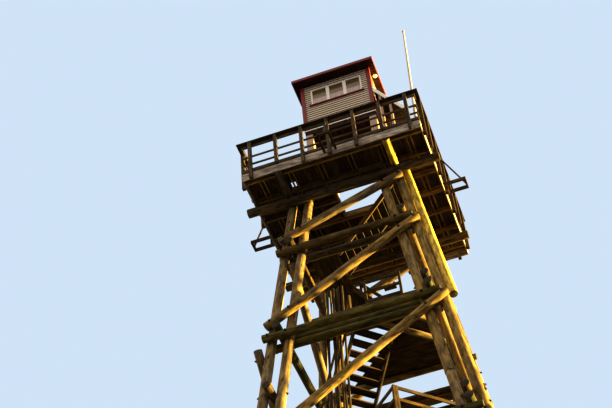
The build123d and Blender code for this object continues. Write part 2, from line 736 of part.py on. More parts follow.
# Outriggers
def outrigger(turn):
    """Two level arms, an end board and a raking strut at the middle post of one side."""

    def turned(x, y, z):
        return tuple(Vector(x, y, z).rotate(Axis.Z, turn))

    arm_z = DECK_TOP - OUTRIGGER_BELOW
    board_y = OUTRIGGER_WIDE / 2 - OUTRIGGER_TIP
    arm_end = OUTRIGGER_WIDE - OUTRIGGER_TIP
    half = OUTRIGGER_SPREAD + OUTRIGGER_WIDE / 2
    pieces = []
    for x in (-OUTRIGGER_SPREAD, OUTRIGGER_SPREAD):
        ends = (turned(x, -DECK_HALF, arm_z), turned(x, arm_end, arm_z))
        pieces.append(bar(*ends, OUTRIGGER_WIDE, OUTRIGGER_DEEP))
    ends = (turned(-half, board_y, arm_z), turned(half, board_y, arm_z))
    pieces.append(bar(*ends, OUTRIGGER_WIDE, OUTRIGGER_DEEP))
    head = DECK_TOP + RAIL_HEIGHT - CAP_THICKNESS - 2 * STRUT_SIZE
    side = Plane(origin=turned(-STRUT_SIZE / 2, 0, 0), x_dir=turned(0, -1, 0), z_dir=turned(-1, 0, 0))
    with BuildSketch(side) as strut:
        Polygon(
            (DECK_HALF + POST_SIZE, head - STRUT_SIZE),
            (-arm_end, arm_z - STRUT_SIZE / 2),
            (-arm_end, arm_z + STRUT_SIZE),
            (DECK_HALF + POST_SIZE, head + STRUT_SIZE / 2),
            align=None,
        )
    pieces.append(extrude(strut.sketch, amount=-STRUT_SIZE, mode=Mode.PRIVATE))
    return pieces


with BuildPart() as outriggers:
    pieces = []
    for turn in (0, 90, 180, 270):
        pieces += outrigger(turn)
    add(pieces)
finish(outriggers, "outriggers")

# Watch cabin
CABIN_FLOOR_TOP = DECK_TOP + CABIN_CLEAR_BELOW + CABIN_FLOOR
CABIN_TOP = CABIN_FLOOR_TOP + CABIN_WALL_HEIGHT
CABIN_PLACE = Plane((CABIN_CENTRE_X, 0, 0))
HALF_W = CABIN_WIDTH / 2
HALF_D = CABIN_DEPTH / 2
WINDOW_Z = CABIN_FLOOR_TOP + WINDOW_SILL + WINDOW_HEIGHT / 2
DOOR_Z = CABIN_FLOOR_TOP + DOOR_HEIGHT / 2

with BuildPart() as cabin_posts:
    with BuildSketch(CABIN_PLACE.offset(DECK_TOP)):
        with GridLocations(CABIN_WIDTH - CABIN_POST, CABIN_DEPTH - CABIN_POST, 2, 2):
            Rectangle(CABIN_POST, CABIN_POST)
    extrude(amount=CABIN_CLEAR_BELOW)
finish(cabin_posts, "cabin_posts")

with BuildPart() as cabin_floor:
    with BuildSketch(CABIN_PLACE.offset(DECK_TOP + CABIN_CLEAR_BELOW)):
        Rectangle(CABIN_WIDTH, CABIN_DEPTH)
    extrude(amount=CABIN_FLOOR)
finish(cabin_floor, "cabin_floor")


# Walls: name, plane of the outside face, length
FRONT_FACE = Plane(origin=(CABIN_CENTRE_X, -HALF_D, WINDOW_Z), x_dir=(1, 0, 0), z_dir=(0, -1, 0))
REAR_FACE = Plane(origin=(CABIN_CENTRE_X, HALF_D, WINDOW_Z), x_dir=(-1, 0, 0), z_dir=(0, 1, 0))
LEFT_FACE = Plane(origin=(CABIN_CENTRE_X - HALF_W, 0, WINDOW_Z), x_dir=(0, -1, 0), z_dir=(-1, 0, 0))
RIGHT_FACE = Plane(origin=(CABIN_CENTRE_X + HALF_W, 0, WINDOW_Z), x_dir=(0, 1, 0), z_dir=(1, 0, 0))
WINDOW_FACES = (FRONT_FACE, LEFT_FACE, RIGHT_FACE)
WALL_MIDDLE = CABIN_FLOOR_TOP + CABIN_WALL_HEIGHT / 2 - WINDOW_Z
SIDE_LENGTH = CABIN_DEPTH - 2 * CABIN_WALL
DOOR_MIDDLE = DOOR_Z - WINDOW_Z


def wall_sketch(length, opening, opening_at):
    """Wall outline with one opening, drawn on its outside face."""
    with BuildSketch() as outline:
        with Locations((0, WALL_MIDDLE)):
            Rectangle(length, CABIN_WALL_HEIGHT)
        with Locations(opening_at):
            Rectangle(*opening, mode=Mode.SUBTRACT)
    return outline.sketch


walls = {}
for name, face, length, opening, opening_at in (
    ("front", FRONT_FACE, CABIN_WIDTH, (WINDOW_WIDTH, WINDOW_HEIGHT), (0, 0)),
    ("left", LEFT_FACE, SIDE_LENGTH, (WINDOW_WIDTH, WINDOW_HEIGHT), (0, 0)),
    ("right", RIGHT_FACE, SIDE_LENGTH, (WINDOW_WIDTH, WINDOW_HEIGHT), (0, 0)),
    ("rear", REAR_FACE, CABIN_WIDTH, (DOOR_WIDTH, DOOR_HEIGHT), (DOOR_X, DOOR_MIDDLE)),
):
    with BuildPart() as walls[name]:
        with BuildSketch(face):
            add(wall_sketch(length, opening, opening_at))
        extrude(amount=-CABIN_WALL)
    finish(walls[name], f"cabin_{name}_wall")

# Window frames with three lights each, and a pane in every light
LIGHT = (WINDOW_WIDTH - 2 * WINDOW_FRAME - 2 * MULLION) / 3
LIGHT_HEIGHT = WINDOW_HEIGHT - 2 * WINDOW_FRAME
FRAME_BACK = (CABIN_WALL + FRAME_DEPTH) / 2
with BuildPart() as window_frames:
    with BuildSketch(*[face.offset(-FRAME_BACK) for face in WINDOW_FACES]):
        Rectangle(WINDOW_WIDTH, WINDOW_HEIGHT)
        with GridLocations(LIGHT + MULLION, 0, 3, 1):
            Rectangle(LIGHT, LIGHT_HEIGHT, mode=Mode.SUBTRACT)
    extrude(amount=FRAME_DEPTH)
finish(window_frames, "window_frames")

with BuildPart() as window_glazing:
    with BuildSketch(*[face.offset(-(CABIN_WALL + GLASS) / 2) for face in WINDOW_FACES]):
        with GridLocations(LIGHT + MULLION, 0, 3, 1):
            Rectangle(LIGHT, LIGHT_HEIGHT)
    extrude(amount=GLASS)
finish(window_glazing, "window_glazing")

with BuildPart() as door_frame:
    with BuildSketch(REAR_FACE.offset(-FRAME_BACK)):
        with Locations((DOOR_X, DOOR_MIDDLE)):
            Rectangle(DOOR_WIDTH, DOOR_HEIGHT)
        with Locations((DOOR_X, DOOR_MIDDLE - DOOR_FRAME / 2)):
            Rectangle(DOOR_WIDTH - 2 * DOOR_FRAME, DOOR_HEIGHT - DOOR_FRAME, mode=Mode.SUBTRACT)
    extrude(amount=FRAME_DEPTH)
finish(door_frame, "door_frame")

with BuildPart() as cabin_door:
    with BuildSketch(REAR_FACE.offset(-(CABIN_WALL + DOOR_LEAF) / 2)):
        with Locations((DOOR_X, DOOR_MIDDLE - DOOR_FRAME / 2)):
            Rectangle(DOOR_WIDTH - 2 * DOOR_FRAME, DOOR_HEIGHT - DOOR_FRAME)
    extrude(amount=DOOR_LEAF)
finish(cabin_door, "cabin_door")

with BuildPart() as corner_boards:
    with BuildSketch(CABIN_PLACE.offset(CABIN_FLOOR_TOP + BASE_TRIM)):
        Rectangle(CABIN_WIDTH + 2 * CORNER_THICKNESS, CABIN_DEPTH + 2 * CORNER_THICKNESS)
        Rectangle(CABIN_WIDTH, CABIN_DEPTH, mode=Mode.SUBTRACT)
        Rectangle(CABIN_WIDTH - 2 * CORNER_BOARD, 2 * CABIN_DEPTH, mode=Mode.SUBTRACT)
        Rectangle(2 * CABIN_WIDTH, CABIN_DEPTH - 2 * CORNER_BOARD, mode=Mode.SUBTRACT)
    extrude(amount=CABIN_WALL_HEIGHT - BASE_TRIM)
finish(corner_boards, "corner_boards")

with BuildPart() as cabin_base_trim:
    with BuildSketch(CABIN_PLACE.offset(CABIN_FLOOR_TOP)):
        Rectangle(CABIN_WIDTH + 2 * CORNER_THICKNESS, CABIN_DEPTH + 2 * CORNER_THICKNESS)
        Rectangle(CABIN_WIDTH, CABIN_DEPTH, mode=Mode.SUBTRACT)
    extrude(amount=BASE_TRIM)
finish(cabin_base_trim, "cabin_base_trim")

ROOF_HALF_X = HALF_W + ROOF_SIDE_OVERHANG
ROOF_HALF_Y = HALF_D + ROOF_END_OVERHANG
with BuildPart() as roof:
    with BuildSketch(Plane.YZ.offset(CABIN_CENTRE_X - ROOF_HALF_X)):
        Polygon(
            (-ROOF_HALF_Y, CABIN_TOP),
            (ROOF_HALF_Y, CABIN_TOP),
            (ROOF_HALF_Y, CABIN_TOP + ROOF_EDGE),
            (-ROOF_HALF_Y, CABIN_TOP + ROOF_EDGE + ROOF_FALL),
            align=None,
        )
    extrude(amount=2 * ROOF_HALF_X)
finish(roof, "roof")

with BuildPart() as roof_fascia:
    with BuildSketch(CABIN_PLACE.offset(CABIN_TOP)):
        Rectangle(2 * (ROOF_HALF_X + ROOF_FASCIA), 2 * (ROOF_HALF_Y + ROOF_FASCIA))
        Rectangle(2 * ROOF_HALF_X, 2 * ROOF_HALF_Y, mode=Mode.SUBTRACT)
    extrude(amount=ROOF_FASCIA_HEIGHT)
finish(roof_fascia, "roof_fascia")

with BuildPart() as soffit_lamp:
    lamp_x = CABIN_CENTRE_X + HALF_W + ROOF_SIDE_OVERHANG / 2 + CORNER_THICKNESS / 2
    with BuildSketch(Plane((lamp_x, -HALF_D * 0.7, CABIN_TOP))):
        RegularPolygon(ROOF_SIDE_OVERHANG / 2 - CORNER_THICKNESS, 12)
    extrude(amount=-LAMP_DEPTH)
    chamfer(soffit_lamp.faces().sort_by(Axis.Z)[0].edges(), LAMP_DEPTH / 3)
finish(soffit_lamp, "soffit_lamp")

# Hood over the stair head
HOOD_X = CABIN_CENTRE_X + HALF_W + CORNER_THICKNESS
HOOD_Z = CABIN_FLOOR_TOP + HOOD_TOP
HOOD_LENGTH = sqrt(HOOD_RUN**2 + HOOD_DROP**2)
HOOD_PLUMB = HOOD_BOARD * HOOD_LENGTH / HOOD_RUN


def hood_strip(y, depth, below, above):
    """Sloping strip of the hood from y towards the rear, plumb at both ends."""
    with BuildSketch(Plane.XZ.offset(-y)) as slope:
        Polygon(
            (HOOD_X, HOOD_Z - below),
            (HOOD_X + HOOD_RUN, HOOD_Z - HOOD_DROP - below),
            (HOOD_X + HOOD_RUN, HOOD_Z - HOOD_DROP + above),
            (HOOD_X, HOOD_Z + above),
            align=None,
        )
    extrude(slope.sketch, amount=-depth)


with BuildPart() as hood_boards:
    hood_strip(-HALF_D, HALF_D + HOOD_REAR, 0, HOOD_PLUMB)
finish(hood_boards, "hood_boards")

with BuildPart() as hood_verges:
    hood_strip(-HALF_D - VERGE_THICKNESS, VERGE_THICKNESS, VERGE, HOOD_PLUMB + VERGE / 3)
    hood_strip(HOOD_REAR, VERGE_THICKNESS, VERGE, HOOD_PLUMB + VERGE / 3)
finish(hood_verges, "hood_verges")

with BuildPart() as hood_posts:
    for x in HOOD_POSTS_X:
        low = HOOD_Z - (x - HOOD_POST / 2 - HOOD_X) * HOOD_DROP / HOOD_RUN
        high = low - HOOD_POST * HOOD_DROP / HOOD_RUN
        for y in (-HALF_D, HOOD_REAR - HOOD_POST):
            with BuildSketch(Plane.XZ.offset(-y)):
                Polygon(
                    (x - HOOD_POST / 2, DECK_TOP),
                    (x + HOOD_POST / 2, DECK_TOP),
                    (x + HOOD_POST / 2, high),
                    (x - HOOD_POST / 2, low),
                    align=None,
                )
            extrude(amount=-HOOD_POST)
finish(hood_posts, "hood_posts")

# Flagpole on its foot plate
with BuildPart() as flagpole:
    plate_top = DECK_TOP + POLE_PLATE / 10
    with BuildSketch(GROUND.offset(DECK_TOP)):
        with Locations(POLE_FOOT_AT):
            Rectangle(POLE_PLATE, POLE_PLATE)
    extrude(amount=POLE_PLATE / 10)
    foot = (*POLE_FOOT_AT, DECK_TOP + POLE_PLATE / 20)
    tip = (*POLE_TIP_AT, DECK_TOP + POLE_HEIGHT)
    add(stick(foot, tip, (0, 1, 0), 2 * POLE_RADIUS, 2 * POLE_RADIUS, sides=12))
finish(flagpole, "flagpole")
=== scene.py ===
# %% [markdown]
# # A log observation tower, dressed piece by piece
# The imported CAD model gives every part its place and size. This lesson turns
# its eight-sided sticks into peeled round logs, its slabs into boards and its
# plain faces into worn timber and paint. Nothing is moved: each new piece is
# measured from the solid that it stands for.

# %% Load the frame
import json
import math
import random

import bmesh
import bpy
from mathutils import Matrix, Vector, geometry, noise


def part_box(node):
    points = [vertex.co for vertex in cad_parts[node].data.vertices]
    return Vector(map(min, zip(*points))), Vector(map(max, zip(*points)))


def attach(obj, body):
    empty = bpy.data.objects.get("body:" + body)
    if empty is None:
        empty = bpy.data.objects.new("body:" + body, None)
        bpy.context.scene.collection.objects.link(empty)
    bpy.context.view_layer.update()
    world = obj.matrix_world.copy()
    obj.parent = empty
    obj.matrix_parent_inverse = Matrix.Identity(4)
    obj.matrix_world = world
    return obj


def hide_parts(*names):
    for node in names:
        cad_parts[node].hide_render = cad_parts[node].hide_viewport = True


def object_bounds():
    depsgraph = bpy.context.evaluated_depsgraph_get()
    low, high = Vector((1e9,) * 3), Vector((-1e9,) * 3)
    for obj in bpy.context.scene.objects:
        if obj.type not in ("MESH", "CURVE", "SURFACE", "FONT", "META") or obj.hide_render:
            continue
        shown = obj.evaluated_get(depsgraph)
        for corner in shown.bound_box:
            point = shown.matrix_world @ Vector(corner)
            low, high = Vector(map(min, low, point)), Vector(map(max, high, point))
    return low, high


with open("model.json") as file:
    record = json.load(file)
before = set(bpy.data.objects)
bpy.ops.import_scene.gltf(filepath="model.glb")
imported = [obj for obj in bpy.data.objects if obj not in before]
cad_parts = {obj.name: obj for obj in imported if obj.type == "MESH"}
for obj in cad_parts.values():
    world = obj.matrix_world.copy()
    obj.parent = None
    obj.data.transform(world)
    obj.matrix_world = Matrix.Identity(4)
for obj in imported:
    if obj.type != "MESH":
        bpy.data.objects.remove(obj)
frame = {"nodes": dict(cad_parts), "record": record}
cad_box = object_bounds()
slot_of = {part["node"]: part["material_slot"] for part in frame["record"]["subparts"]}
print("nodes", len(frame["nodes"]), "box", cad_box)

# %% [markdown]
# ## Camera
# The photograph looks up the tower from the ground with a long lens and a
# slight roll. Heading, tilt and roll were solved from the platform and the
# legs, so the camera's three axes are written from those angles.

# %% Camera
EYE = Vector((4.829, -23.242, 1.591))
HEADING, TILT, ROLL = (math.radians(angle) for angle in (-14.971, 48.508, -5.635))
FOCAL_LENGTH, SENSOR_WIDTH, FAR_END = 79.41, 36.0, 500.0
forward = Vector((math.sin(HEADING), math.cos(HEADING), 0))
ahead = forward * math.cos(TILT) + Vector((0, 0, math.sin(TILT)))
level = Vector((forward.y, -forward.x, 0))
upward = level.cross(ahead)
image_right = math.cos(ROLL) * level + math.sin(ROLL) * upward
image_up = math.cos(ROLL) * upward - math.sin(ROLL) * level
lens = bpy.data.cameras.new("camera")
lens.lens = FOCAL_LENGTH
lens.sensor_fit = "HORIZONTAL"
lens.sensor_width = SENSOR_WIDTH
lens.clip_end = FAR_END
camera = bpy.data.objects.new("camera", lens)
axes = Matrix((image_right, image_up, -ahead)).transposed()
camera.matrix_world = Matrix.Translation(EYE) @ axes.to_4x4()
bpy.context.scene.collection.objects.link(camera)
bpy.context.scene.camera = camera

# %% [markdown]
# ## Light
# One strong warm lamp stands low on the right and a little behind, as an
# evening sun does, so that each log shows a bright edge and a shaded face. The
# shade is filled by a soft world that is brighter above than below. The camera
# itself sees a plain pale backdrop.

# %% Light
AIM = Vector((0, 0, 22))
KEY_FROM, KEY_AWAY = Vector((0.90, 0.36, 0.070)), 200
KEY_SIZE, KEY_POWER, KEY_COLOUR = 14, 4000000, (1.0, 0.71, 0.18)
FILL_COLOUR, FILL_ABOVE, FILL_BELOW, HORIZON = (1.0, 0.90, 0.78, 1), 1.24, 0.15, 0.15
BACKDROP_COLOUR, BACKDROP_STRENGTH = (0.72, 0.85, 1.0, 1), 0.95
VIEW_GAMMA = 0.82

key_light = bpy.data.lights.new("key", "AREA")
key_light.size = KEY_SIZE
key_light.energy = KEY_POWER
key_light.color = KEY_COLOUR
key = bpy.data.objects.new("key", key_light)
key.location = AIM + KEY_FROM.normalized() * KEY_AWAY
key.rotation_euler = (key.location - AIM).to_track_quat("Z", "Y").to_euler()
bpy.context.scene.collection.objects.link(key)

world = bpy.data.worlds.new("studio")
world.use_nodes = True
sky = world.node_tree.nodes
join = world.node_tree.links.new
fill = sky["Background"]
fill.inputs["Color"].default_value = FILL_COLOUR
direction = sky.new("ShaderNodeSeparateXYZ")
join(sky.new("ShaderNodeTexCoord").outputs["Generated"], direction.inputs[0])
rise = sky.new("ShaderNodeMapRange")
limits = {"From Min": -HORIZON, "From Max": HORIZON, "To Min": FILL_BELOW, "To Max": FILL_ABOVE}
for name, value in limits.items():
    rise.inputs[name].default_value = value
join(direction.outputs["Z"], rise.inputs["Value"])
join(rise.outputs["Result"], fill.inputs["Strength"])
backdrop = sky.new("ShaderNodeBackground")
backdrop.inputs["Color"].default_value = BACKDROP_COLOUR
backdrop.inputs["Strength"].default_value = BACKDROP_STRENGTH
seen = sky.new("ShaderNodeMixShader")
join(sky.new("ShaderNodeLightPath").outputs["Is Camera Ray"], seen.inputs[0])
join(fill.outputs[0], seen.inputs[1])
join(backdrop.outputs[0], seen.inputs[2])
join(seen.outputs[0], sky["World Output"].inputs["Surface"])
bpy.context.scene.world = world
bpy.context.scene.view_settings.view_transform = "Standard"
bpy.context.scene.view_settings.gamma = VIEW_GAMMA
print("key lamp at", [round(v, 1) for v in key.location])

# %% [markdown]
# ## Shader arithmetic
# A worn surface is a sum of patterns. Wrapping a socket in a small class lets
# those sums be written as sums, and one method adds every other node.


# %% Shader arithmetic
class Value:
    """One output socket that takes part in arithmetic."""

    def __init__(self, graph, socket):
        self.graph = graph
        self.socket = socket

    def math(self, operation, *values):
        return self.graph.add("ShaderNodeMath", {"operation": operation}, dict(enumerate(values)))

    def apply(self, operation):
        """A function of this value alone, such as SQRT or SINE."""
        return self.math(operation, self)

    def __add__(self, other):
        return self.math("ADD", self, other)

    def __sub__(self, other):
        return self.math("SUBTRACT", self, other)

    def __rsub__(self, other):
        return self.math("SUBTRACT", other, self)

    def __mul__(self, other):
        return self.math("MULTIPLY", self, other)

    def __truediv__(self, other):
        return self.math("DIVIDE", self, other)

    __radd__ = __add__

    def distance_to(self, level):
        return (self - level).apply("ABSOLUTE")

    def span(self, low, high):
        """Rises smoothly from 0 at low to 1 at high."""
        values = {"Value": self, "From Min": low, "From Max": high}
        return self.graph.add("ShaderNodeMapRange", {"interpolation_type": "SMOOTHSTEP"}, values)


class Graph:
    """The nodes of one material, built around one principled shader."""

    def __init__(self, name):
        self.material = bpy.data.materials.new(name)
        self.material.use_nodes = True
        self.nodes = self.material.node_tree.nodes
        self.links = self.material.node_tree.links
        self.shader = self.nodes["Principled BSDF"]

    def add(self, kind, settings, values, out=0):
        """Adds a node from its type, its settings and what its sockets get."""
        node = self.nodes.new(kind)
        for key, value in settings.items():
            setattr(node, key, value)
        for key, value in values.items():
            if isinstance(value, Value):
                self.links.new(value.socket, node.inputs[key])
            else:
                node.inputs[key].default_value = value
        return Value(self, node.outputs[out])

    def attribute(self, name, out):
        return self.add("ShaderNodeAttribute", {"attribute_name": name}, {}, out)

    def scaled(self, vector, factors):
        return self.add("ShaderNodeVectorMath", {"operation": "MULTIPLY"}, {0: vector, 1: factors})

    def noise(self, vector, factors, detail=2.0):
        values = {"Vector": self.scaled(vector, factors), "Scale": 1.0, "Detail": detail}
        return self.add("ShaderNodeTexNoise", {}, values)

    def cells(self, vector, factors):
        """Distance to the nearest of many scattered points."""
        values = {"Vector": self.scaled(vector, factors), "Scale": 1.0}
        return self.add("ShaderNodeTexVoronoi", {}, values)

    def parts(self, vector):
        node = self.add("ShaderNodeSeparateXYZ", {}, {0: vector}).socket.node
        return [Value(self, socket) for socket in node.outputs]

    def mix(self, factor, first, second):
        """Colour that goes from first to second."""
        values = {0: factor, 6: rgba(first), 7: rgba(second)}
        return self.add("ShaderNodeMix", {"data_type": "RGBA"}, values, 2)

    def flat(self, colour):
        """One even colour, ready to be shaded."""
        return self.mix(0.0, colour, colour)

    def shade(self, colour, factor):
        """Colour made lighter or darker by a factor near 1."""
        grey = self.add("ShaderNodeCombineXYZ", {}, {0: factor, 1: factor, 2: factor})
        values = {0: 1.0, 6: colour, 7: grey}
        return self.add("ShaderNodeMix", {"data_type": "RGBA", "blend_type": "MULTIPLY"}, values, 2)

    def finish(self, colour, roughness, height, depth, strength=0.6):
        """Feeds the shader: colour, roughness, and a bump of some metres."""
        values = {"Height": height, "Distance": depth, "Strength": strength}
        bump = self.add("ShaderNodeBump", {}, values)
        for name, value in (("Base Color", colour), ("Roughness", roughness), ("Normal", bump)):
            self.links.new(value.socket, self.shader.inputs[name])
        return self.material


def rgba(colour):
    return colour if isinstance(colour, Value) else (*colour, 1.0)


# %% [markdown]
# ## Wood
# Weathered softwood goes silver-grey where rain reaches it and stays golden
# where it is dry. Along the fibre it shows streaks and drying cracks, and
# across it dark knots. Every piece carries its own grain coordinates, in
# metres with the third one along the fibre, so streaks follow each log.


# %% Wood
CRACK_COLOUR, HEART_COLOUR = (0.012, 0.009, 0.006), (0.01, 0.008, 0.006)
RING_RATE = 780.0


def wood(name, dry, grey, deep, weather=0.5, knots=1.0, cracks=1.0):
    """Timber: dry and grey mix by weathering, deep is the colour in a knot."""
    graph = Graph(name)
    grain = graph.attribute("grain", "Vector")
    tone = graph.attribute("tone", "Fac")
    streak = graph.noise(grain, (24, 24, 0.9), 5.0)
    fibre = graph.noise(grain, (130, 130, 5), 3.0)
    patch = graph.noise(grain, (3.0, 3.0, 0.7), 3.0)
    field = graph.noise(grain, (11, 11, 0.42), 2.0)
    area = graph.noise(grain, (4.0, 4.0, 0.6), 1.0)
    crack = (1.0 - field.distance_to(0.5).span(0.004, 0.02)) * area.span(0.46, 0.58) * cracks
    knot = (1.0 - graph.cells(grain, (5.0, 5.0, 2.3)).span(0.10, 0.17)) * knots
    stain = graph.noise(grain, (5.0, 5.0, 1.1), 4.0)
    mottle = graph.noise(grain, (15.0, 15.0, 4.0), 3.0)
    age = patch * 1.2 + streak * 0.8 + tone * 0.6 - 1.3 + weather
    along = 0.50 + fibre * 0.50 + streak * 0.50
    colour = graph.mix(age.span(0.1, 0.9), dry, grey)
    colour = graph.shade(colour, along * (0.44 + stain.span(0.30, 0.56) * 0.42))
    colour = graph.shade(colour, 0.62 + mottle.span(0.36, 0.64) * 0.72)
    colour = graph.mix(knot * 0.75, colour, deep)
    colour = graph.mix(crack * 0.92, colour, CRACK_COLOUR)
    graph.shader.inputs["Specular IOR Level"].default_value = 0.15
    height = streak * 0.5 + fibre * 0.25 - crack * 1.4 + knot * 0.3
    return graph.finish(colour, streak * 0.25 + 0.6, height, 0.012)


def end_grain(name, pale, dark):
    """Sawn end of a log: growth rings and cracks that open from the heart."""
    graph = Graph(name)
    grain = graph.attribute("grain", "Vector")
    x, y, z = graph.parts(grain)
    radius = (x * x + y * y).apply("SQRT")
    wobble = graph.noise(grain, (9, 9, 1), 2.0)
    ring = ((radius + wobble * 0.012) * RING_RATE).apply("SINE")
    flat = graph.add("ShaderNodeCombineXYZ", {}, {0: x / (radius + 0.01), 1: y / (radius + 0.01), 2: z})
    split = 1.0 - graph.noise(flat, (2.2, 2.2, 1.0), 2.0).distance_to(0.5).span(0.006, 0.03)
    colour = graph.mix(wobble.span(0.35, 0.65), pale, dark)
    colour = graph.shade(colour, ring * 0.12 + 0.9)
    colour = graph.mix(split * 0.9, colour, HEART_COLOUR)
    return graph.finish(colour, wobble * 0.2 + 0.7, ring * 0.15 - split, 0.006)


def paint(name, colour, bare, worn=0.5, gloss=0.55, lap=0.0, base=0.0):
    """Brushed paint, flaked in places. Boards that lap every lap metres get painted shade under each edge.
    """
    graph = Graph(name)
    grain = graph.attribute("grain", "Vector")
    tone = graph.attribute("tone", "Fac")
    brush = graph.noise(grain, (60, 60, 2.5), 3.0)
    dirt = graph.noise(grain, (5, 5, 2.0), 4.0)
    flake = graph.noise(grain, (22, 22, 6), 5.0)
    chip = (flake + dirt * 0.35).span(1.02 - worn * 0.35, 1.06 - worn * 0.35)
    coat = graph.shade(graph.flat(colour), 0.78 + brush * 0.2 + dirt * 0.24 + tone * 0.12)
    top = graph.mix(chip, coat, bare)
    if lap:
        # Painted shade: darkened near each lap line, where the board above throws shade.
        height_up = graph.parts(graph.add("ShaderNodeTexCoord", {}, {}, "Object"))[2]
        place = ((height_up - base) / lap).apply("FRACT")
        top = graph.shade(top, 0.30 + place.distance_to(0.5).span(0.5, 0.33) * 0.75)
    roughness = chip * 0.25 + brush * 0.15 + gloss - 0.1
    return graph.finish(top, roughness, brush * 0.3 - chip, 0.003)


def metal(name, colour, rust):
    """Dull steel with spots of rust."""
    graph = Graph(name)
    grain = graph.attribute("grain", "Vector")
    spot = graph.noise(grain, (60, 60, 60), 4.0)
    colour = graph.mix(spot.span(0.42, 0.6), colour, rust)
    graph.shader.inputs["Metallic"].default_value = 0.7
    return graph.finish(colour, spot * 0.4 + 0.35, spot, 0.002)


def pane(name, pale_reflection, clear, split):
    """Window glass with painted reflections: pale below, dark above where it shows the ceiling."""
    graph = Graph(name)
    spot = graph.add("ShaderNodeTexCoord", {}, {}, "Object")
    x, y, z = graph.parts(spot)
    smear = graph.noise(spot, (6, 6, 2), 3.0)
    reflection_streaks = graph.noise(spot, (34, 34, 0.6), 2.0)
    # Painted reflection: the pane turns from the pale colour below to the dark one above at the split
    # height.
    reflection_mask = (z + smear * 0.05).span(split + 0.06, split)
    colour = graph.mix(reflection_mask, clear, graph.shade(graph.flat(pale_reflection), 0.6 + reflection_streaks * 0.8))
    graph.shader.inputs["Coat Weight"].default_value = 0.8
    graph.shader.inputs["Coat Roughness"].default_value = 0.04
    return graph.finish(colour, smear * 0.2 + 0.15, smear, 0.0005)


WALL_FOOT, WALL_HEAD = (corner[2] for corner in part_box("cabin_front_wall"))
LAP = (WALL_HEAD - WALL_FOOT) / 22
# Height at which the painted reflection on the panes turns from pale to dark.
REFLECTION_SPLIT = WALL_FOOT + 1.39
# Dry colour, weathered colour, colour in knots, then the shares of weathering, knots and cracks.
WOODS = {
    "peeled_log": ((0.36, 0.235, 0.062), (0.25, 0.19, 0.105), (0.04, 0.025, 0.01), 0.6),
    # Painted sunlight: a much lighter copy of the peeled log, for the lap log and the right-hand bearer.
    "fresh_log": ((0.74, 0.52, 0.10), (0.58, 0.40, 0.10), (0.14, 0.08, 0.02), 0.3, 0.8, 0.7),
    "brown_log": ((0.155, 0.10, 0.030), (0.095, 0.071, 0.040), (0.026, 0.016, 0.007), 0.5),
    "mossy_log": ((0.150, 0.12, 0.025), (0.068, 0.072, 0.022), (0.022, 0.016, 0.008), 0.55),
    "thin_pole": ((0.12, 0.08, 0.03), (0.055, 0.046, 0.032), (0.03, 0.02, 0.012), 0.7),
    "sawn_timber": ((0.13, 0.078, 0.018), (0.055, 0.039, 0.022), (0.03, 0.02, 0.01), 0.6, 0.8, 0.5),
    "dark_board": ((0.088, 0.048, 0.017), (0.044, 0.029, 0.017), (0.015, 0.01, 0.005), 0.5, 0.8, 0.5),
    "grey_board": ((0.15, 0.10, 0.055), (0.10, 0.078, 0.052), (0.04, 0.03, 0.02), 0.6, 0.7, 0.8),
    "fascia_board": ((0.62, 0.52, 0.41), (0.50, 0.43, 0.36), (0.16, 0.12, 0.09), 0.6, 0.7, 0.8),
    # Painted light: the joists get a lighter golden copy of the sawn timber, standing in for light on their
    # sides.
    "joist": ((0.40, 0.24, 0.055), (0.22, 0.14, 0.055), (0.03, 0.02, 0.01), 0.5, 0.8, 0.5),
    # Soffit: dark red-brown boards, made darker still as painted shade on the undersides. The roof soffit
    # and the cabin floor use it.
    "soffit": ((0.065, 0.022, 0.011), (0.04, 0.018, 0.011), (0.02, 0.01, 0.006), 0.5, 0.5, 0.5),
}
# Colour, bare timber, wear and roughness. Cladding also has its lap and where its rows start, which place
# the painted shade under each lap.
PAINTS = {
    "cladding": ((0.55, 0.46, 0.365), (0.24, 0.19, 0.13), 0.25, 0.62, LAP, WALL_FOOT),
    "cabin_timber": ((0.40, 0.27, 0.19), (0.30, 0.20, 0.12), 0.4, 0.6),
    "red_trim": ((0.21, 0.012, 0.022), (0.12, 0.06, 0.035), 0.3, 0.55),
    "white_paint": ((0.88, 0.85, 0.80), (0.35, 0.26, 0.18), 0.2, 0.45),
    "door_paint": ((0.13, 0.035, 0.02), (0.14, 0.08, 0.05), 0.45, 0.55),
    "roofing": ((0.075, 0.018, 0.016), (0.10, 0.045, 0.025), 0.3, 0.4),
    "pole_paint": ((0.50, 0.43, 0.41), (0.35, 0.34, 0.32), 0.2, 0.35),
    "lamp_glass": ((0.80, 0.78, 0.70), (0.5, 0.48, 0.42), 0.1, 0.25),
}
MATERIALS = {name: wood(name, *look) for name, look in WOODS.items()}
MATERIALS |= {name: paint(name, *look) for name, look in PAINTS.items()}
# The panes carry painted reflections, pale below and dark above.
MATERIALS["window_glass"] = pane("window_glass", (0.44, 0.33, 0.30), (0.13, 0.075, 0.012), REFLECTION_SPLIT)
MATERIALS["log_end"] = end_grain("log_end", (0.06, 0.04, 0.02), (0.03, 0.021, 0.012))
MATERIALS["fixing"] = metal("fixing", (0.03, 0.027, 0.024), (0.035, 0.018, 0.01))

BROWN_LOGS = (
    "front_cross_logs", "rear_cross_logs", "inner_cross_logs", "upper_inner_logs", "mid_cross_logs",
    "left_side_logs", "right_side_logs", "rest_floor_kerb", "deck_logs", "deck_bearers",
)
DAMP_HEIGHTS = ((22.2, 22.7), (18.4, 18.9))
PLAIN_FINISH = {
    # The soffit finish is partly painted shade.
    "deck_fascia": "fascia_board", "railing_right": "dark_board", "cabin_floor": "soffit",
    # The joist finish carries painted light.
    "deck_joists": "joist", "hood_boards": "grey_board", "hood_posts": "cabin_timber",
}


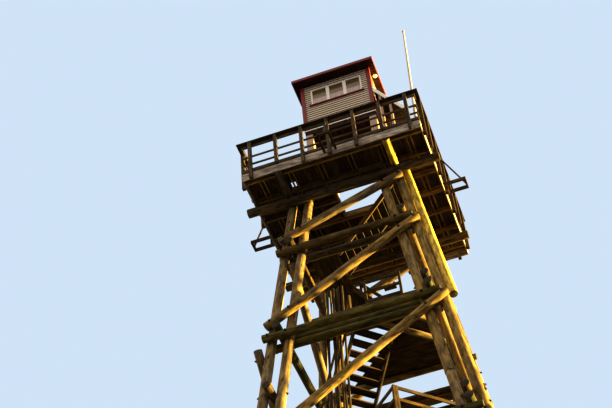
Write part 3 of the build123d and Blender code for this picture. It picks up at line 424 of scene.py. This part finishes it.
def finish_of(node, start):
    """The lap log and the bearer above it get a lighter copy of the log finish as painted sunlight. Cross
    logs are brown, or mossy where it is damp.
    """
    if node == "lap_log" or (node == "deck_bearers" and start.x > 0):
        return "fresh_log"
    if node not in BROWN_LOGS:
        return slot_of[node]
    damp = start.y < 0 and any(low < start.z < high for low, high in DAMP_HEIGHTS)
    return "mossy_log" if damp else "brown_log"


print("materials", len(MATERIALS))

# %% [markdown]
# ## Measuring the solids
# A round log is found from its eight-sided solid: the mean of the corners at
# each end is a point on its axis, and the distance of the corners gives its
# thickness. A board is cut from the slab that it belongs to.


# %% Measuring the solids
def copy_of(node):
    """The node's mesh with its triangles joined into whole faces."""
    bm = bmesh.new()
    bm.from_mesh(frame["nodes"][node].data)
    bmesh.ops.remove_doubles(bm, verts=bm.verts[:], dist=1e-5)
    bmesh.ops.dissolve_limit(
        bm, angle_limit=math.radians(1), use_dissolve_boundaries=False, verts=bm.verts[:], edges=bm.edges[:]
    )
    return bm


def islands(bm):
    """Groups of vertices that hang together, in the order of the mesh."""
    seen = set()
    groups = []
    for first in bm.verts:
        if first in seen:
            continue
        seen.add(first)
        queue, group = [first], [first]
        while queue:
            for edge in queue.pop().link_edges:
                for vert in edge.verts:
                    if vert not in seen:
                        seen.add(vert)
                        queue.append(vert)
                        group.append(vert)
        groups.append(group)
    return groups


def log_lines(node):
    """(start, end, radius) of each straight log in a node, start lower or further left."""
    bm = copy_of(node)
    lines = []
    for group in islands(bm):
        edges = [edge for vert in group for edge in vert.link_edges]
        longest = max(edges, key=lambda edge: edge.calc_length())
        axis = (longest.verts[1].co - longest.verts[0].co).normalized()
        if (axis.z, axis.x, axis.y) < (0, 0, 0):
            axis = -axis
        reach = [vert.co.dot(axis) for vert in group]
        middle = (min(reach) + max(reach)) / 2
        ends = []
        for side in (-1, 1):
            corners = [vert.co for vert, along in zip(group, reach) if (along - middle) * side > 0]
            ends.append(sum(corners, Vector()) / len(corners))
        offset = group[0].co - ends[0]
        radius = (offset - axis * offset.dot(axis)).length * math.cos(math.pi / 8)
        lines.append((ends[0], ends[1], radius))
    bm.free()
    return lines


print("front cross logs", [round((b - a).length, 2) for a, b, r in log_lines("front_cross_logs")])

# %% [markdown]
# ## Pieces
# A piece gathers any number of parts in one mesh. Each part brings its grain
# and its tone with it. The finished object rides on the frame and takes the
# place of the CAD nodes it was measured from.


# %% Pieces
SHARP = math.radians(25)


def gather(target, part):
    """Adds the mesh of part to target and frees it."""
    mesh = bpy.data.meshes.new("part")
    part.to_mesh(mesh)
    part.free()
    target.from_mesh(mesh)
    bpy.data.meshes.remove(mesh)


def piece(name, bm, slots, nodes=(), smooth=False):
    """The finished object: materials by slot, what it rides on and which nodes it replaces."""
    mesh = bpy.data.meshes.new(name)
    for face in bm.faces:
        face.smooth = smooth
    bm.to_mesh(mesh)
    bm.free()
    for slot in slots:
        mesh.materials.append(MATERIALS[slot])
    made = bpy.data.objects.new(name, mesh)
    bpy.context.scene.collection.objects.link(made)
    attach(made, "root")
    if nodes:
        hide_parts(*nodes)
    return made


def soften(bm, width):
    """Eases every edge that turns by more than SHARP."""
    sharp = [edge for edge in bm.edges if len(edge.link_faces) == 2 and edge.calc_face_angle(0) > SHARP]
    bmesh.ops.bevel(bm, geom=sharp, offset=width, segments=1, profile=0.5, affect="EDGES", material=-1)


def lay_grain(bm, seed):
    """Grain along the longest side of every face, and one tone for each board."""
    grain = bm.loops.layers.float_vector.new("grain")
    tone = bm.verts.layers.float.new("tone")
    pick = random.Random(seed)
    for group in islands(bm):
        shade = pick.random()
        shift = Vector((0, 0, pick.uniform(0, 60)))
        for vert in group:
            vert[tone] = shade
        for face in {face for vert in group for face in vert.link_faces}:
            longest = max(face.edges, key=lambda edge: edge.calc_length())
            along = (longest.verts[1].co - longest.verts[0].co).normalized()
            if max(along, key=abs) < 0:
                along = -along
            across = face.normal.cross(along)
            for loop in face.loops:
                spot = loop.vert.co
                loop[grain] = Vector((spot.dot(across), spot.dot(face.normal), spot.dot(along))) + shift


def cut(bm, spot, normal, keep_above):
    """Cuts the solid at a plane, keeps one side and closes it."""
    bmesh.ops.bisect_plane(
        bm, geom=bm.verts[:] + bm.edges[:] + bm.faces[:], dist=1e-6, plane_co=spot, plane_no=normal,
        clear_inner=keep_above, clear_outer=not keep_above,
    )
    bmesh.ops.holes_fill(bm, edges=[edge for edge in bm.edges if edge.is_boundary], sides=0)


def sliced(solid, across, pitch, gap, rows):
    """Cuts the solid into boards of about the pitch, with a gap between them, and adds them to rows."""
    across = Vector(across).normalized()
    reach = [vert.co.dot(across) for vert in solid.verts]
    low, high = min(reach), max(reach)
    count = max(1, round((high - low) / pitch))
    width = (high - low) / count
    for n in range(count):
        board = solid.copy()
        if n:
            cut(board, across * (low + width * n + gap / 2), across, True)
        if n < count - 1:
            cut(board, across * (low + width * (n + 1) - gap / 2), across, False)
        gather(rows, board)


def strips(node, across, pitch, gap=0.0):
    """The node cut into boards: across is the direction from one board to the next."""
    whole = copy_of(node)
    rows = bmesh.new()
    sliced(whole, across, pitch, gap, rows)
    whole.free()
    return rows


print("cabin front wall boards", len(islands(strips("cabin_front_wall", (0, 0, 1), 0.09))))

# %% [markdown]
# ## Round logs
# A peeled trunk is a cone that is nearly a cylinder, a little out of true, with
# swellings at the knots. It is made as a cone, cut into rings, pushed about by
# smooth noise, and its sawn ends are eased and given end grain.


# %% Round logs
MARGIN = 0.0005
FOOT_SHARE, TIP_SHARE = 1.045, 0.985
RING_PITCH = 0.3
LEAN_SHARE = 0.10


def trunk(start, end, radius, seed, sides=16, swell=0.02, ease=0.012):
    """One log from start to end, thicker at its start, kept inside the box of the solids."""
    bm = bmesh.new()
    run = end - start
    length = run.length
    bmesh.ops.create_cone(
        bm, cap_ends=True, cap_tris=False, segments=sides, depth=length,
        radius1=radius * FOOT_SHARE, radius2=radius * TIP_SHARE,
    )
    lengthwise = [edge for edge in bm.edges if abs(edge.verts[0].co.z - edge.verts[1].co.z) > length / 2]
    cuts = max(2, round(length / RING_PITCH))
    bmesh.ops.subdivide_edges(bm, edges=lengthwise, cuts=cuts, use_grid_fill=True)
    rims = [edge for edge in bm.edges if all(abs(vert.co.z) > length / 2 - 1e-5 for vert in edge.verts)]
    bmesh.ops.bevel(bm, geom=rims, offset=ease, segments=2, profile=0.5, affect="EDGES", material=-1)
    grain = bm.loops.layers.float_vector.new("grain")
    tone = bm.verts.layers.float.new("tone")
    shade = random.Random(seed).random()
    for face in bm.faces:
        face.normal_update()
        face.material_index = 1 if abs(face.normal.z) > 0.9 else 0
        for loop in face.loops:
            loop[grain] = loop.vert.co + Vector((0, 0, shade * 70))
    for vert in bm.verts:
        spot = vert.co.copy()
        inside = 1 - (2 * spot.z / length) ** 2
        flat = Vector((spot.x, spot.y, 0))
        bulge = noise.noise(Vector((spot.x * 7, spot.y * 7, spot.z * 1.6 + shade * 90)))
        vert.co += flat * bulge * swell * 2.2
        lean = [noise.noise(Vector((shade * 50, axis, spot.z * 0.35))) for axis in (3.1, 9.7)]
        vert.co += Vector((*lean, 0)) * radius * LEAN_SHARE * max(inside, 0)
        vert[tone] = shade
    turn = run.to_track_quat("Z", "Y").to_matrix().to_4x4()
    bm.transform(Matrix.Translation((start + end) / 2) @ turn)
    for vert in bm.verts:
        for n in range(2):
            vert.co[n] = min(max(vert.co[n], cad_box[0][n] + MARGIN), cad_box[1][n] - MARGIN)
    return bm


def logs(node, seed, **shape):
    """The round logs of a node, each with its own finish. Returns their lines."""
    lines = log_lines(node)
    whole = bmesh.new()
    finishes = [finish_of(node, start) for start, end, radius in lines]
    slots = [finishes[0], "log_end", *sorted(set(finishes) - {finishes[0]})]
    for n, (start, end, radius) in enumerate(lines):
        log = trunk(start, end, radius, seed * 100 + n, **shape)
        for face in log.faces:
            face.material_index = face.material_index or slots.index(finishes[n])
        gather(whole, log)
    made = piece(node + "_round", whole, slots, (node,), smooth=True)
    print(node, len(lines), "logs", len(made.data.polygons), "faces")
    return lines


LEGS = ("leg_front_left", "leg_front_right", "leg_rear_left", "leg_rear_right")
LEG_SEED, LEG_SIDES = 1000, 18
INNER, OUTER = 0, 1
SPLICES = {INNER: (9.9, 19.9), OUTER: (5.9, 16.4)}
leg_lines = {}
for number, name in enumerate(LEGS):
    whole = bmesh.new()
    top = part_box(name)[1][2]
    for start, end, radius in log_lines(name):
        place = OUTER if abs(start.x) > abs(start.y) else INNER
        leg_lines[name, place] = (start, end, radius)
        slope = (end - start) / (end.z - start.z)
        heights = [start.z - radius, *SPLICES[place], end.z + radius]
        points = [start + slope * (height - start.z) for height in heights]
        for n, (low, high) in enumerate(zip(points, points[1:])):
            seed = LEG_SEED + 10 * number + 3 * place + n
            gather(whole, trunk(low, high, radius, seed, LEG_SIDES))
    cut(whole, (0, 0, MARGIN), (0, 0, 1), True)
    cut(whole, (0, 0, top), (0, 0, 1), False)
    piece(name + "_logs", whole, ("peeled_log", "log_end"), (name,), smooth=True)

LOG_SIDES = {
    "lap_log": 16, "front_cross_logs": 16, "rear_cross_logs": 16, "inner_cross_logs": 16,
    "upper_inner_logs": 16, "mid_cross_logs": 16, "left_side_logs": 16, "right_side_logs": 16,
    "face_braces": 18, "side_braces": 16, "landing_bearers": 12, "rest_floor_bearers": 12,
    "rest_floor_kerb": 14, "deck_logs": 16, "deck_bearers": 16,
}
lines_of = {
    node: logs(node, number, sides=sides) for number, (node, sides) in enumerate(LOG_SIDES.items(), start=1)
}
lines_of["pole_bundle"] = logs("pole_bundle", len(LOG_SIDES) + 1, sides=10, swell=0.03, ease=0.004)

# %% [markdown]
# ## Boards
# Decks, landings, walls and soffits are rows of boards with a small gap or a
# groove between them. Each slab is cut into strips and every strip gets eased
# edges, its own tone and its own grain.


# %% Boards
LEAN_IN = 0.016
BOARD_EASE = 0.004


def boards(node, across, pitch, gap=0.0, ease=BOARD_EASE, seed=0, outward=None):
    """One node as boards. With outward, they lap and the top of each leans in from that side."""
    bm = strips(node, across, pitch, gap)
    if outward:
        outward = Vector(outward)
        face = max(vert.co.dot(outward) for vert in bm.verts)
        for group in islands(bm):
            top = max(vert.co.z for vert in group)
            for vert in group:
                if top - vert.co.z < 0.02 and face - vert.co.dot(outward) < 0.01:
                    vert.co -= outward * LEAN_IN
    soften(bm, ease)
    lay_grain(bm, seed)
    finish = PLAIN_FINISH.get(node, slot_of[node])
    made = piece(node + "_boards", bm, (finish,), (node,))
    print(node, len(made.data.polygons), "faces")


def laid(node, across, pitch, gap, seed):
    """Boards for a node of several separate slabs."""
    whole = copy_of(node)
    rows = bmesh.new()
    for group in islands(whole):
        slab = whole.copy()
        wanted = {vert.index for vert in group}
        others = [vert for vert in slab.verts if vert.index not in wanted]
        bmesh.ops.delete(slab, geom=others, context="VERTS")
        sliced(slab, across, pitch, gap, rows)
        slab.free()
    whole.free()
    soften(rows, BOARD_EASE)
    lay_grain(rows, seed)
    piece(node + "_boards", rows, (slot_of[node],), (node,))


ACROSS, BACK, UP = (1, 0, 0), (0, 1, 0), (0, 0, 1)
boards("deck_floor", ACROSS, pitch=0.145, gap=0.002, ease=0.005, seed=1)
boards("rest_floor", BACK, pitch=0.15, gap=0.008, seed=2)
boards("top_landing", ACROSS, pitch=0.15, gap=0.008, seed=3)
laid("landing_floors", (1, -1, 0), pitch=0.15, gap=0.008, seed=4)
OUTWARD = {"front": (0, -1, 0), "left": (-1, 0, 0), "right": (1, 0, 0), "rear": (0, 1, 0)}
for seed, (side, outward) in enumerate(OUTWARD.items(), start=10):
    boards(f"cabin_{side}_wall", UP, LAP, seed=seed, outward=outward)
boards("cabin_floor", ACROSS, pitch=0.12, ease=0.006, seed=20)
boards("hood_boards", BACK, pitch=0.12, gap=0.002, seed=21)
boards("cabin_door", ACROSS, pitch=0.12, ease=0.006, seed=22)

# %% [markdown]
# ## Sawn timber
# Posts, rails, joists, strings and treads keep the shape of their solids. Saw
# and weather round their edges a little, which is what catches the light.


# %% Sawn timber
def timber(node, ease, seed):
    """A node's own shape with eased edges. Returns its number of faces."""
    bm = copy_of(node)
    soften(bm, ease)
    lay_grain(bm, seed)
    finish = PLAIN_FINISH.get(node, slot_of[node])
    made = piece(node + "_timber", bm, (finish,), (node,))
    return len(made.data.polygons)


TIMBER = {
    "deck_joists": 0.005, "deck_fascia": 0.004, "handrail_caps": 0.006, "outriggers": 0.005,
    "railing_front": 0.006, "railing_right": 0.006, "railing_rear": 0.006, "railing_left": 0.006,
    "lower_strings": 0.005, "upper_strings": 0.005, "lower_treads": 0.005, "upper_treads": 0.005,
    "landing_rails": 0.004, "flight_rails": 0.004, "cabin_posts": 0.01, "corner_boards": 0.004,
    "cabin_base_trim": 0.004, "window_frames": 0.006, "door_frame": 0.005, "roof_fascia": 0.004,
    "hood_verges": 0.004, "hood_posts": 0.006,
}
total = sum(timber(node, ease, seed) for seed, (node, ease) in enumerate(TIMBER.items(), start=40))
print("timber faces", total)

# %% [markdown]
# ## Bridging
# From below, pairs of short boards on edge show between the joists. They keep
# the joists upright. The bays are read from the joists' own side faces.

# %% Bridging
BRIDGE_PITCH, BRIDGE_PAIR, BRIDGE_DEEP, BRIDGE_THICK = 0.78, 0.11, 0.10, 0.028
BRIDGE_PLACES = range(-2, 4)
SMALLEST_BAY, BEARER_CLEAR = 0.3, 0.16
FLOOR_GAP, JOIST_GAP = 0.001, 0.002
HATCH_X, HATCH_Y = (-0.40, 1.42), (-1.0, 0.0)
joists = copy_of("deck_joists")
joist_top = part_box("deck_joists")[1][2]
sides = sorted({round(face.calc_center_median().y, 4) for face in joists.faces if abs(face.normal.y) > 0.99})
joists.free()
bearer_line = max(abs(start.x) for start, end, radius in lines_of["deck_bearers"])
bridging = bmesh.new()
for front, rear in zip(sides, sides[1:]):
    middle, depth = (front + rear) / 2, rear - front
    if depth < SMALLEST_BAY:
        continue
    for n in BRIDGE_PLACES:
        for offset in (-BRIDGE_PAIR / 2, BRIDGE_PAIR / 2):
            x = (n - 0.5) * BRIDGE_PITCH + offset
            in_hatch = HATCH_X[0] < x < HATCH_X[1] and HATCH_Y[0] < middle < HATCH_Y[1]
            if in_hatch or abs(abs(x) - bearer_line) < BEARER_CLEAR:
                continue
            place = Matrix.Translation((x, middle, joist_top - BRIDGE_DEEP / 2 - FLOOR_GAP))
            size = Matrix.Diagonal((BRIDGE_THICK, depth - JOIST_GAP, BRIDGE_DEEP, 1))
            bmesh.ops.create_cube(bridging, size=1.0, matrix=place @ size)
soften(bridging, 0.003)
lay_grain(bridging, 66)
# The bridging shares the joists' lighter finish with its painted light.
made = piece("joist_bridging", bridging, ("joist",), ())
print("bridging faces", len(made.data.polygons), "joist sides", len(sides))

# %% [markdown]
# ## Roof
# The roof slab is two things: narrow boards that show from below as the
# soffit, and on top a sheet folded into standing seams.

# %% Roof
SOFFIT_THICK, SOFFIT_PITCH = 0.03, 0.11
SEAM_HEIGHT, SEAM_WIDTH, SEAM_ROOT = 0.018, 0.018, 0.002
SEAM_BAYS, SEAM_INSET = 5, 0.02
low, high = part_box("roof")
split = low[2] + SOFFIT_THICK
bm = strips("roof", BACK, SOFFIT_PITCH)
cut(bm, (0, 0, split), UP, False)
soften(bm, 0.006)
lay_grain(bm, 60)
piece("roof_soffit_boards", bm, ("soffit",), ("roof",))
whole = copy_of("roof")
slope = max(whole.faces, key=lambda face: face.normal.z)
up, crest = slope.normal.copy(), slope.verts[0].co.copy()
cover = whole.copy()
cut(cover, (0, 0, split), UP, True)
cut(cover, crest - up * SEAM_HEIGHT, up, False)
for n in range(SEAM_BAYS + 1):
    x = low[0] + SEAM_INSET + (high[0] - low[0] - 2 * SEAM_INSET) * n / SEAM_BAYS
    seam = whole.copy()
    cut(seam, (x - SEAM_WIDTH / 2, 0, 0), ACROSS, True)
    cut(seam, (x + SEAM_WIDTH / 2, 0, 0), ACROSS, False)
    cut(seam, crest - up * (SEAM_HEIGHT + SEAM_ROOT), up, True)
    gather(cover, seam)
whole.free()
soften(cover, 0.003)
lay_grain(cover, 61)
made = piece("roof_cover", cover, ("roofing",), ())
print("roof cover faces", len(made.data.polygons))

# %% [markdown]
# ## Turned pieces
# The flagpole and the lamp are round, so each is one profile spun about its
# axis: a tapering pole with a collar and a rounded cap, and a glass dome on
# its rim.


# %% Turned pieces
def turned(profile, steps=20):
    """Spins a profile of (radius, height) points about Z."""
    bm = bmesh.new()
    points = [bm.verts.new((radius, 0, height)) for radius, height in profile]
    edges = [bm.edges.new(pair) for pair in zip(points, points[1:])]
    bmesh.ops.spin(
        bm, geom=points + edges, cent=(0, 0, 0), axis=(0, 0, 1), angle=2 * math.pi,
        steps=steps, use_merge=True,
    )
    bmesh.ops.remove_doubles(bm, verts=bm.verts[:], dist=1e-5)
    bmesh.ops.recalc_face_normals(bm, faces=bm.faces[:])
    return bm


POLE_INSET, TIP_CORNERS = 0.065, 12
PLATE_HALF_DIAGONAL, PLATE_THICK = 0.088, 0.012
whole = copy_of("flagpole")
low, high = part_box("flagpole")
corners = sorted((vert.co.copy() for vert in whole.verts), key=lambda spot: spot.z)[-TIP_CORNERS:]
whole.free()
tip = sum(corners, Vector()) / TIP_CORNERS
radius = max((spot - tip).length for spot in corners)
foot = Vector((low[0] + POLE_INSET, high[1] - POLE_INSET, low[2]))
length = (tip - foot).length
profile = [
    (0.0001, PLATE_THICK), (radius * 1.25, PLATE_THICK), (radius * 1.25, 0.09),
    (radius, 0.10), (radius, 0.5), (radius * 0.85, length * 0.5),
    (radius * 0.62, length - 0.07), (radius * 0.95, length - 0.065),
    (radius * 0.95, length - 0.03), (radius * 0.6, length - 0.006), (0.0001, length),
]
pole = turned(profile)
turn = (tip - foot).to_track_quat("Z", "Y").to_matrix().to_4x4()
pole.transform(Matrix.Translation(foot) @ turn)
base = bmesh.new()
place = Matrix.Translation(foot + Vector((0, 0, PLATE_THICK / 2)))
bmesh.ops.create_cone(
    base, cap_ends=True, segments=4, radius1=PLATE_HALF_DIAGONAL, radius2=PLATE_HALF_DIAGONAL,
    depth=PLATE_THICK, matrix=place @ Matrix.Rotation(math.radians(45), 4, "Z"),
)
soften(base, 0.003)
gather(pole, base)
lay_grain(pole, 62)
piece("flagpole_turned", pole, ("pole_paint",), ("flagpole",))

low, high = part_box("soffit_lamp")
middle = Vector(((low[0] + high[0]) / 2, (low[1] + high[1]) / 2, high[2]))
half, drop = (high[0] - low[0]) / 2, high[2] - low[2]
rim = [(half * 0.98, 0.0), (half, -drop * 0.1), (half, -drop * 0.28)]
bends = (0, 0.35, 0.7, 1.05, 1.35, 1.57)
dome = [(half * math.cos(bend), -drop * 0.3 - drop * 0.7 * math.sin(bend)) for bend in bends]
glass = turned(rim + dome, 24)
glass.transform(Matrix.Translation(middle))
lay_grain(glass, 63)
piece("soffit_lamp_dome", glass, ("lamp_glass",), ("soffit_lamp",), smooth=True)
glazing = frame["nodes"]["window_glazing"].data.materials
glazing.clear()
glazing.append(MATERIALS["window_glass"])
print("pole length", round(length, 3), "lamp width", round(2 * half, 3))

# %% [markdown]
# ## Cabin trim
# A sill under each window throws off the rain. The door in the rear wall hangs
# on two strap hinges and has a lever handle.


# %% Cabin trim
def block(size, spot, ease=0.003):
    """An eased bar with its middle at spot."""
    bm = bmesh.new()
    place = Matrix.Translation(spot) @ Matrix.Diagonal((*size, 1))
    bmesh.ops.create_cube(bm, size=1.0, matrix=place)
    soften(bm, ease)
    return bm


SILL_LONG, SILL_DEEP, SILL_THICK = 1.60, 0.06, 0.028
SILL_PROUD, SILL_LAP = 0.012, 0.004
sills = bmesh.new()
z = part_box("window_frames")[0][2] - SILL_THICK / 2 + SILL_LAP
wall_low, wall_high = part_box("cabin_front_wall")
middle_x = (wall_low[0] + wall_high[0]) / 2
gather(sills, block((SILL_LONG, SILL_DEEP, SILL_THICK), (middle_x, wall_low[1] - SILL_PROUD, z)))
for x in (wall_low[0] - SILL_PROUD, wall_high[0] + SILL_PROUD):
    gather(sills, block((SILL_DEEP, SILL_LONG, SILL_THICK), (x, 0, z)))
lay_grain(sills, 64)
piece("window_sills", sills, ("red_trim",))

door_low, door_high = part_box("cabin_door")
PLATE_DEEP = 0.008
HINGE_LONG, HINGE_HIGH, HINGE_HEIGHTS = 0.42, 0.045, (0.3, 1.45)
LEVER_HEIGHT = 0.98
fittings = bmesh.new()
face_y = door_high[1] + PLATE_DEEP / 2
hinge_x, lever_z = door_low[0] + 0.22, door_low[2] + LEVER_HEIGHT
for height in HINGE_HEIGHTS:
    spot = (hinge_x, face_y, door_low[2] + height)
    gather(fittings, block((HINGE_LONG, PLATE_DEEP, HINGE_HIGH), spot, 0.002))
gather(fittings, block((0.05, PLATE_DEEP, 0.16), (door_high[0] - 0.07, face_y, lever_z - 0.03), 0.002))
gather(fittings, block((0.12, 0.016, 0.018), (door_high[0] - 0.11, face_y + 0.03, lever_z), 0.004))
gather(fittings, block((0.018, 0.05, 0.018), (door_high[0] - 0.06, face_y + 0.02, lever_z), 0.004))
lay_grain(fittings, 65)
piece("door_fittings", fittings, ("fixing",), ())

# %% [markdown]
# ## Bolts
# Every crossing of two logs is held by a through bolt with a nut on a large
# washer. The crossings are worked out from the log lines: where two lines pass
# at about the sum of their radii, a bolt goes straight through both.


# %% Bolts
# Washer, nut and bolt end: sides, share of the width, depth, start above the wood.
NUT_LAYERS = ((12, 1.0, 0.008, 0.0), (6, 0.58, 0.024, 0.006), (8, 0.3, 0.045, 0.0))
NUT_TAPER, NUT_SUNK = 0.94, 0.004
BOLT_WIDTH, BOLT_REACH, BOLT_SEAT = 0.042, 0.045, 0.99
STUD_WIDTH, STUD_PITCH, STUD_FOOT, STUD_TOP = 0.024, 0.3, 1.2, 18.3
TOUCH_SHARES = (0.85, 1.15)


def nut(spot, outward, width):
    """A washer, a nut and the bolt's end on the wood at spot."""
    bm = bmesh.new()
    for sides, share, depth, base in NUT_LAYERS:
        place = Matrix.Translation((0, 0, base + depth / 2 - NUT_SUNK))
        bmesh.ops.create_cone(
            bm, cap_ends=True, segments=sides, depth=depth, matrix=place,
            radius1=width * share, radius2=width * share * NUT_TAPER,
        )
    turn = outward.to_track_quat("Z", "Y").to_matrix().to_4x4()
    bm.transform(Matrix.Translation(spot) @ turn)
    return bm


def within(spot, start, end):
    return (spot - start).dot(end - start) > 0 and (spot - end).dot(start - end) > 0


def crossings(carried, carriers):
    """(point on the outer log's axis, direction out, radius) wherever two lines touch."""
    found = []
    for start, end, radius in carried:
        for other_start, other_end, other_radius in carriers:
            pair = geometry.intersect_line_line(start, end, other_start, other_end)
            if pair is None:
                continue
            here, there = pair
            both = within(here, start, end) and within(there, other_start, other_end)
            touch = [(radius + other_radius) * share for share in TOUCH_SHARES]
            if both and touch[0] < (here - there).length < touch[1]:
                found.append((here, (here - there).normalized(), radius))
    return found


OUTSIDE_LEGS = (
    "front_cross_logs", "rear_cross_logs", "face_braces", "deck_logs", "side_braces", "inner_cross_logs",
)
INSIDE_LEGS = ("left_side_logs", "right_side_logs")
all_legs = list(leg_lines.values())
spots = []
for node in OUTSIDE_LEGS:
    spots += crossings(lines_of[node], all_legs)
for node in INSIDE_LEGS:
    spots += crossings(all_legs, lines_of[node])
bolts = bmesh.new()
for here, outward, radius in spots:
    tip = here + outward * (radius + BOLT_REACH)
    over = [max(tip[n] - cad_box[1][n], cad_box[0][n] - tip[n]) for n in range(2)]
    proud = max(0, max(over) + 10 * MARGIN)
    gather(bolts, nut(here + outward * (radius * BOLT_SEAT - proud), outward, BOLT_WIDTH))
studs = 0
for (name, place), (start, end, radius) in leg_lines.items():
    if place == INNER:
        continue
    side = Vector((math.copysign(1, start.x), 0, 0))
    slope = (end - start) / (end.z - start.z)
    height = STUD_FOOT
    while height < STUD_TOP:
        gather(bolts, nut(start + slope * height + side * radius * BOLT_SEAT, side, STUD_WIDTH))
        height += STUD_PITCH
        studs += 1
grain = bolts.loops.layers.float_vector.new("grain")
for face in bolts.faces:
    for loop in face.loops:
        loop[grain] = loop.vert.co
piece("bolts", bolts, ("fixing",), ())
print("bolts", len(spots), "studs", studs)

# %% [markdown]
# ## Stage
# The floor is only the studio's. The box of the solids, inside which the dressed
# pieces are kept, is printed at the end.

# %% Stage
FLOOR_HALF, FLOOR_DROP, FLOOR_COLOUR = 12, 0.002, (0.62, 0.60, 0.57, 1)
bm = bmesh.new()
bmesh.ops.create_grid(bm, x_segments=1, y_segments=1, size=FLOOR_HALF)
mesh = bpy.data.meshes.new("floor")
bm.to_mesh(mesh)
bm.free()
floor = bpy.data.objects.new("floor", mesh)
floor.location.z = -FLOOR_DROP
bpy.context.scene.collection.objects.link(floor)
pale = bpy.data.materials.new("floor")
pale.use_nodes = True
pale_shader = pale.node_tree.nodes["Principled BSDF"]
pale_shader.inputs["Base Color"].default_value = FLOOR_COLOUR
pale_shader.inputs["Roughness"].default_value = 0.9
mesh.materials.append(pale)

print("cad", cad_box)
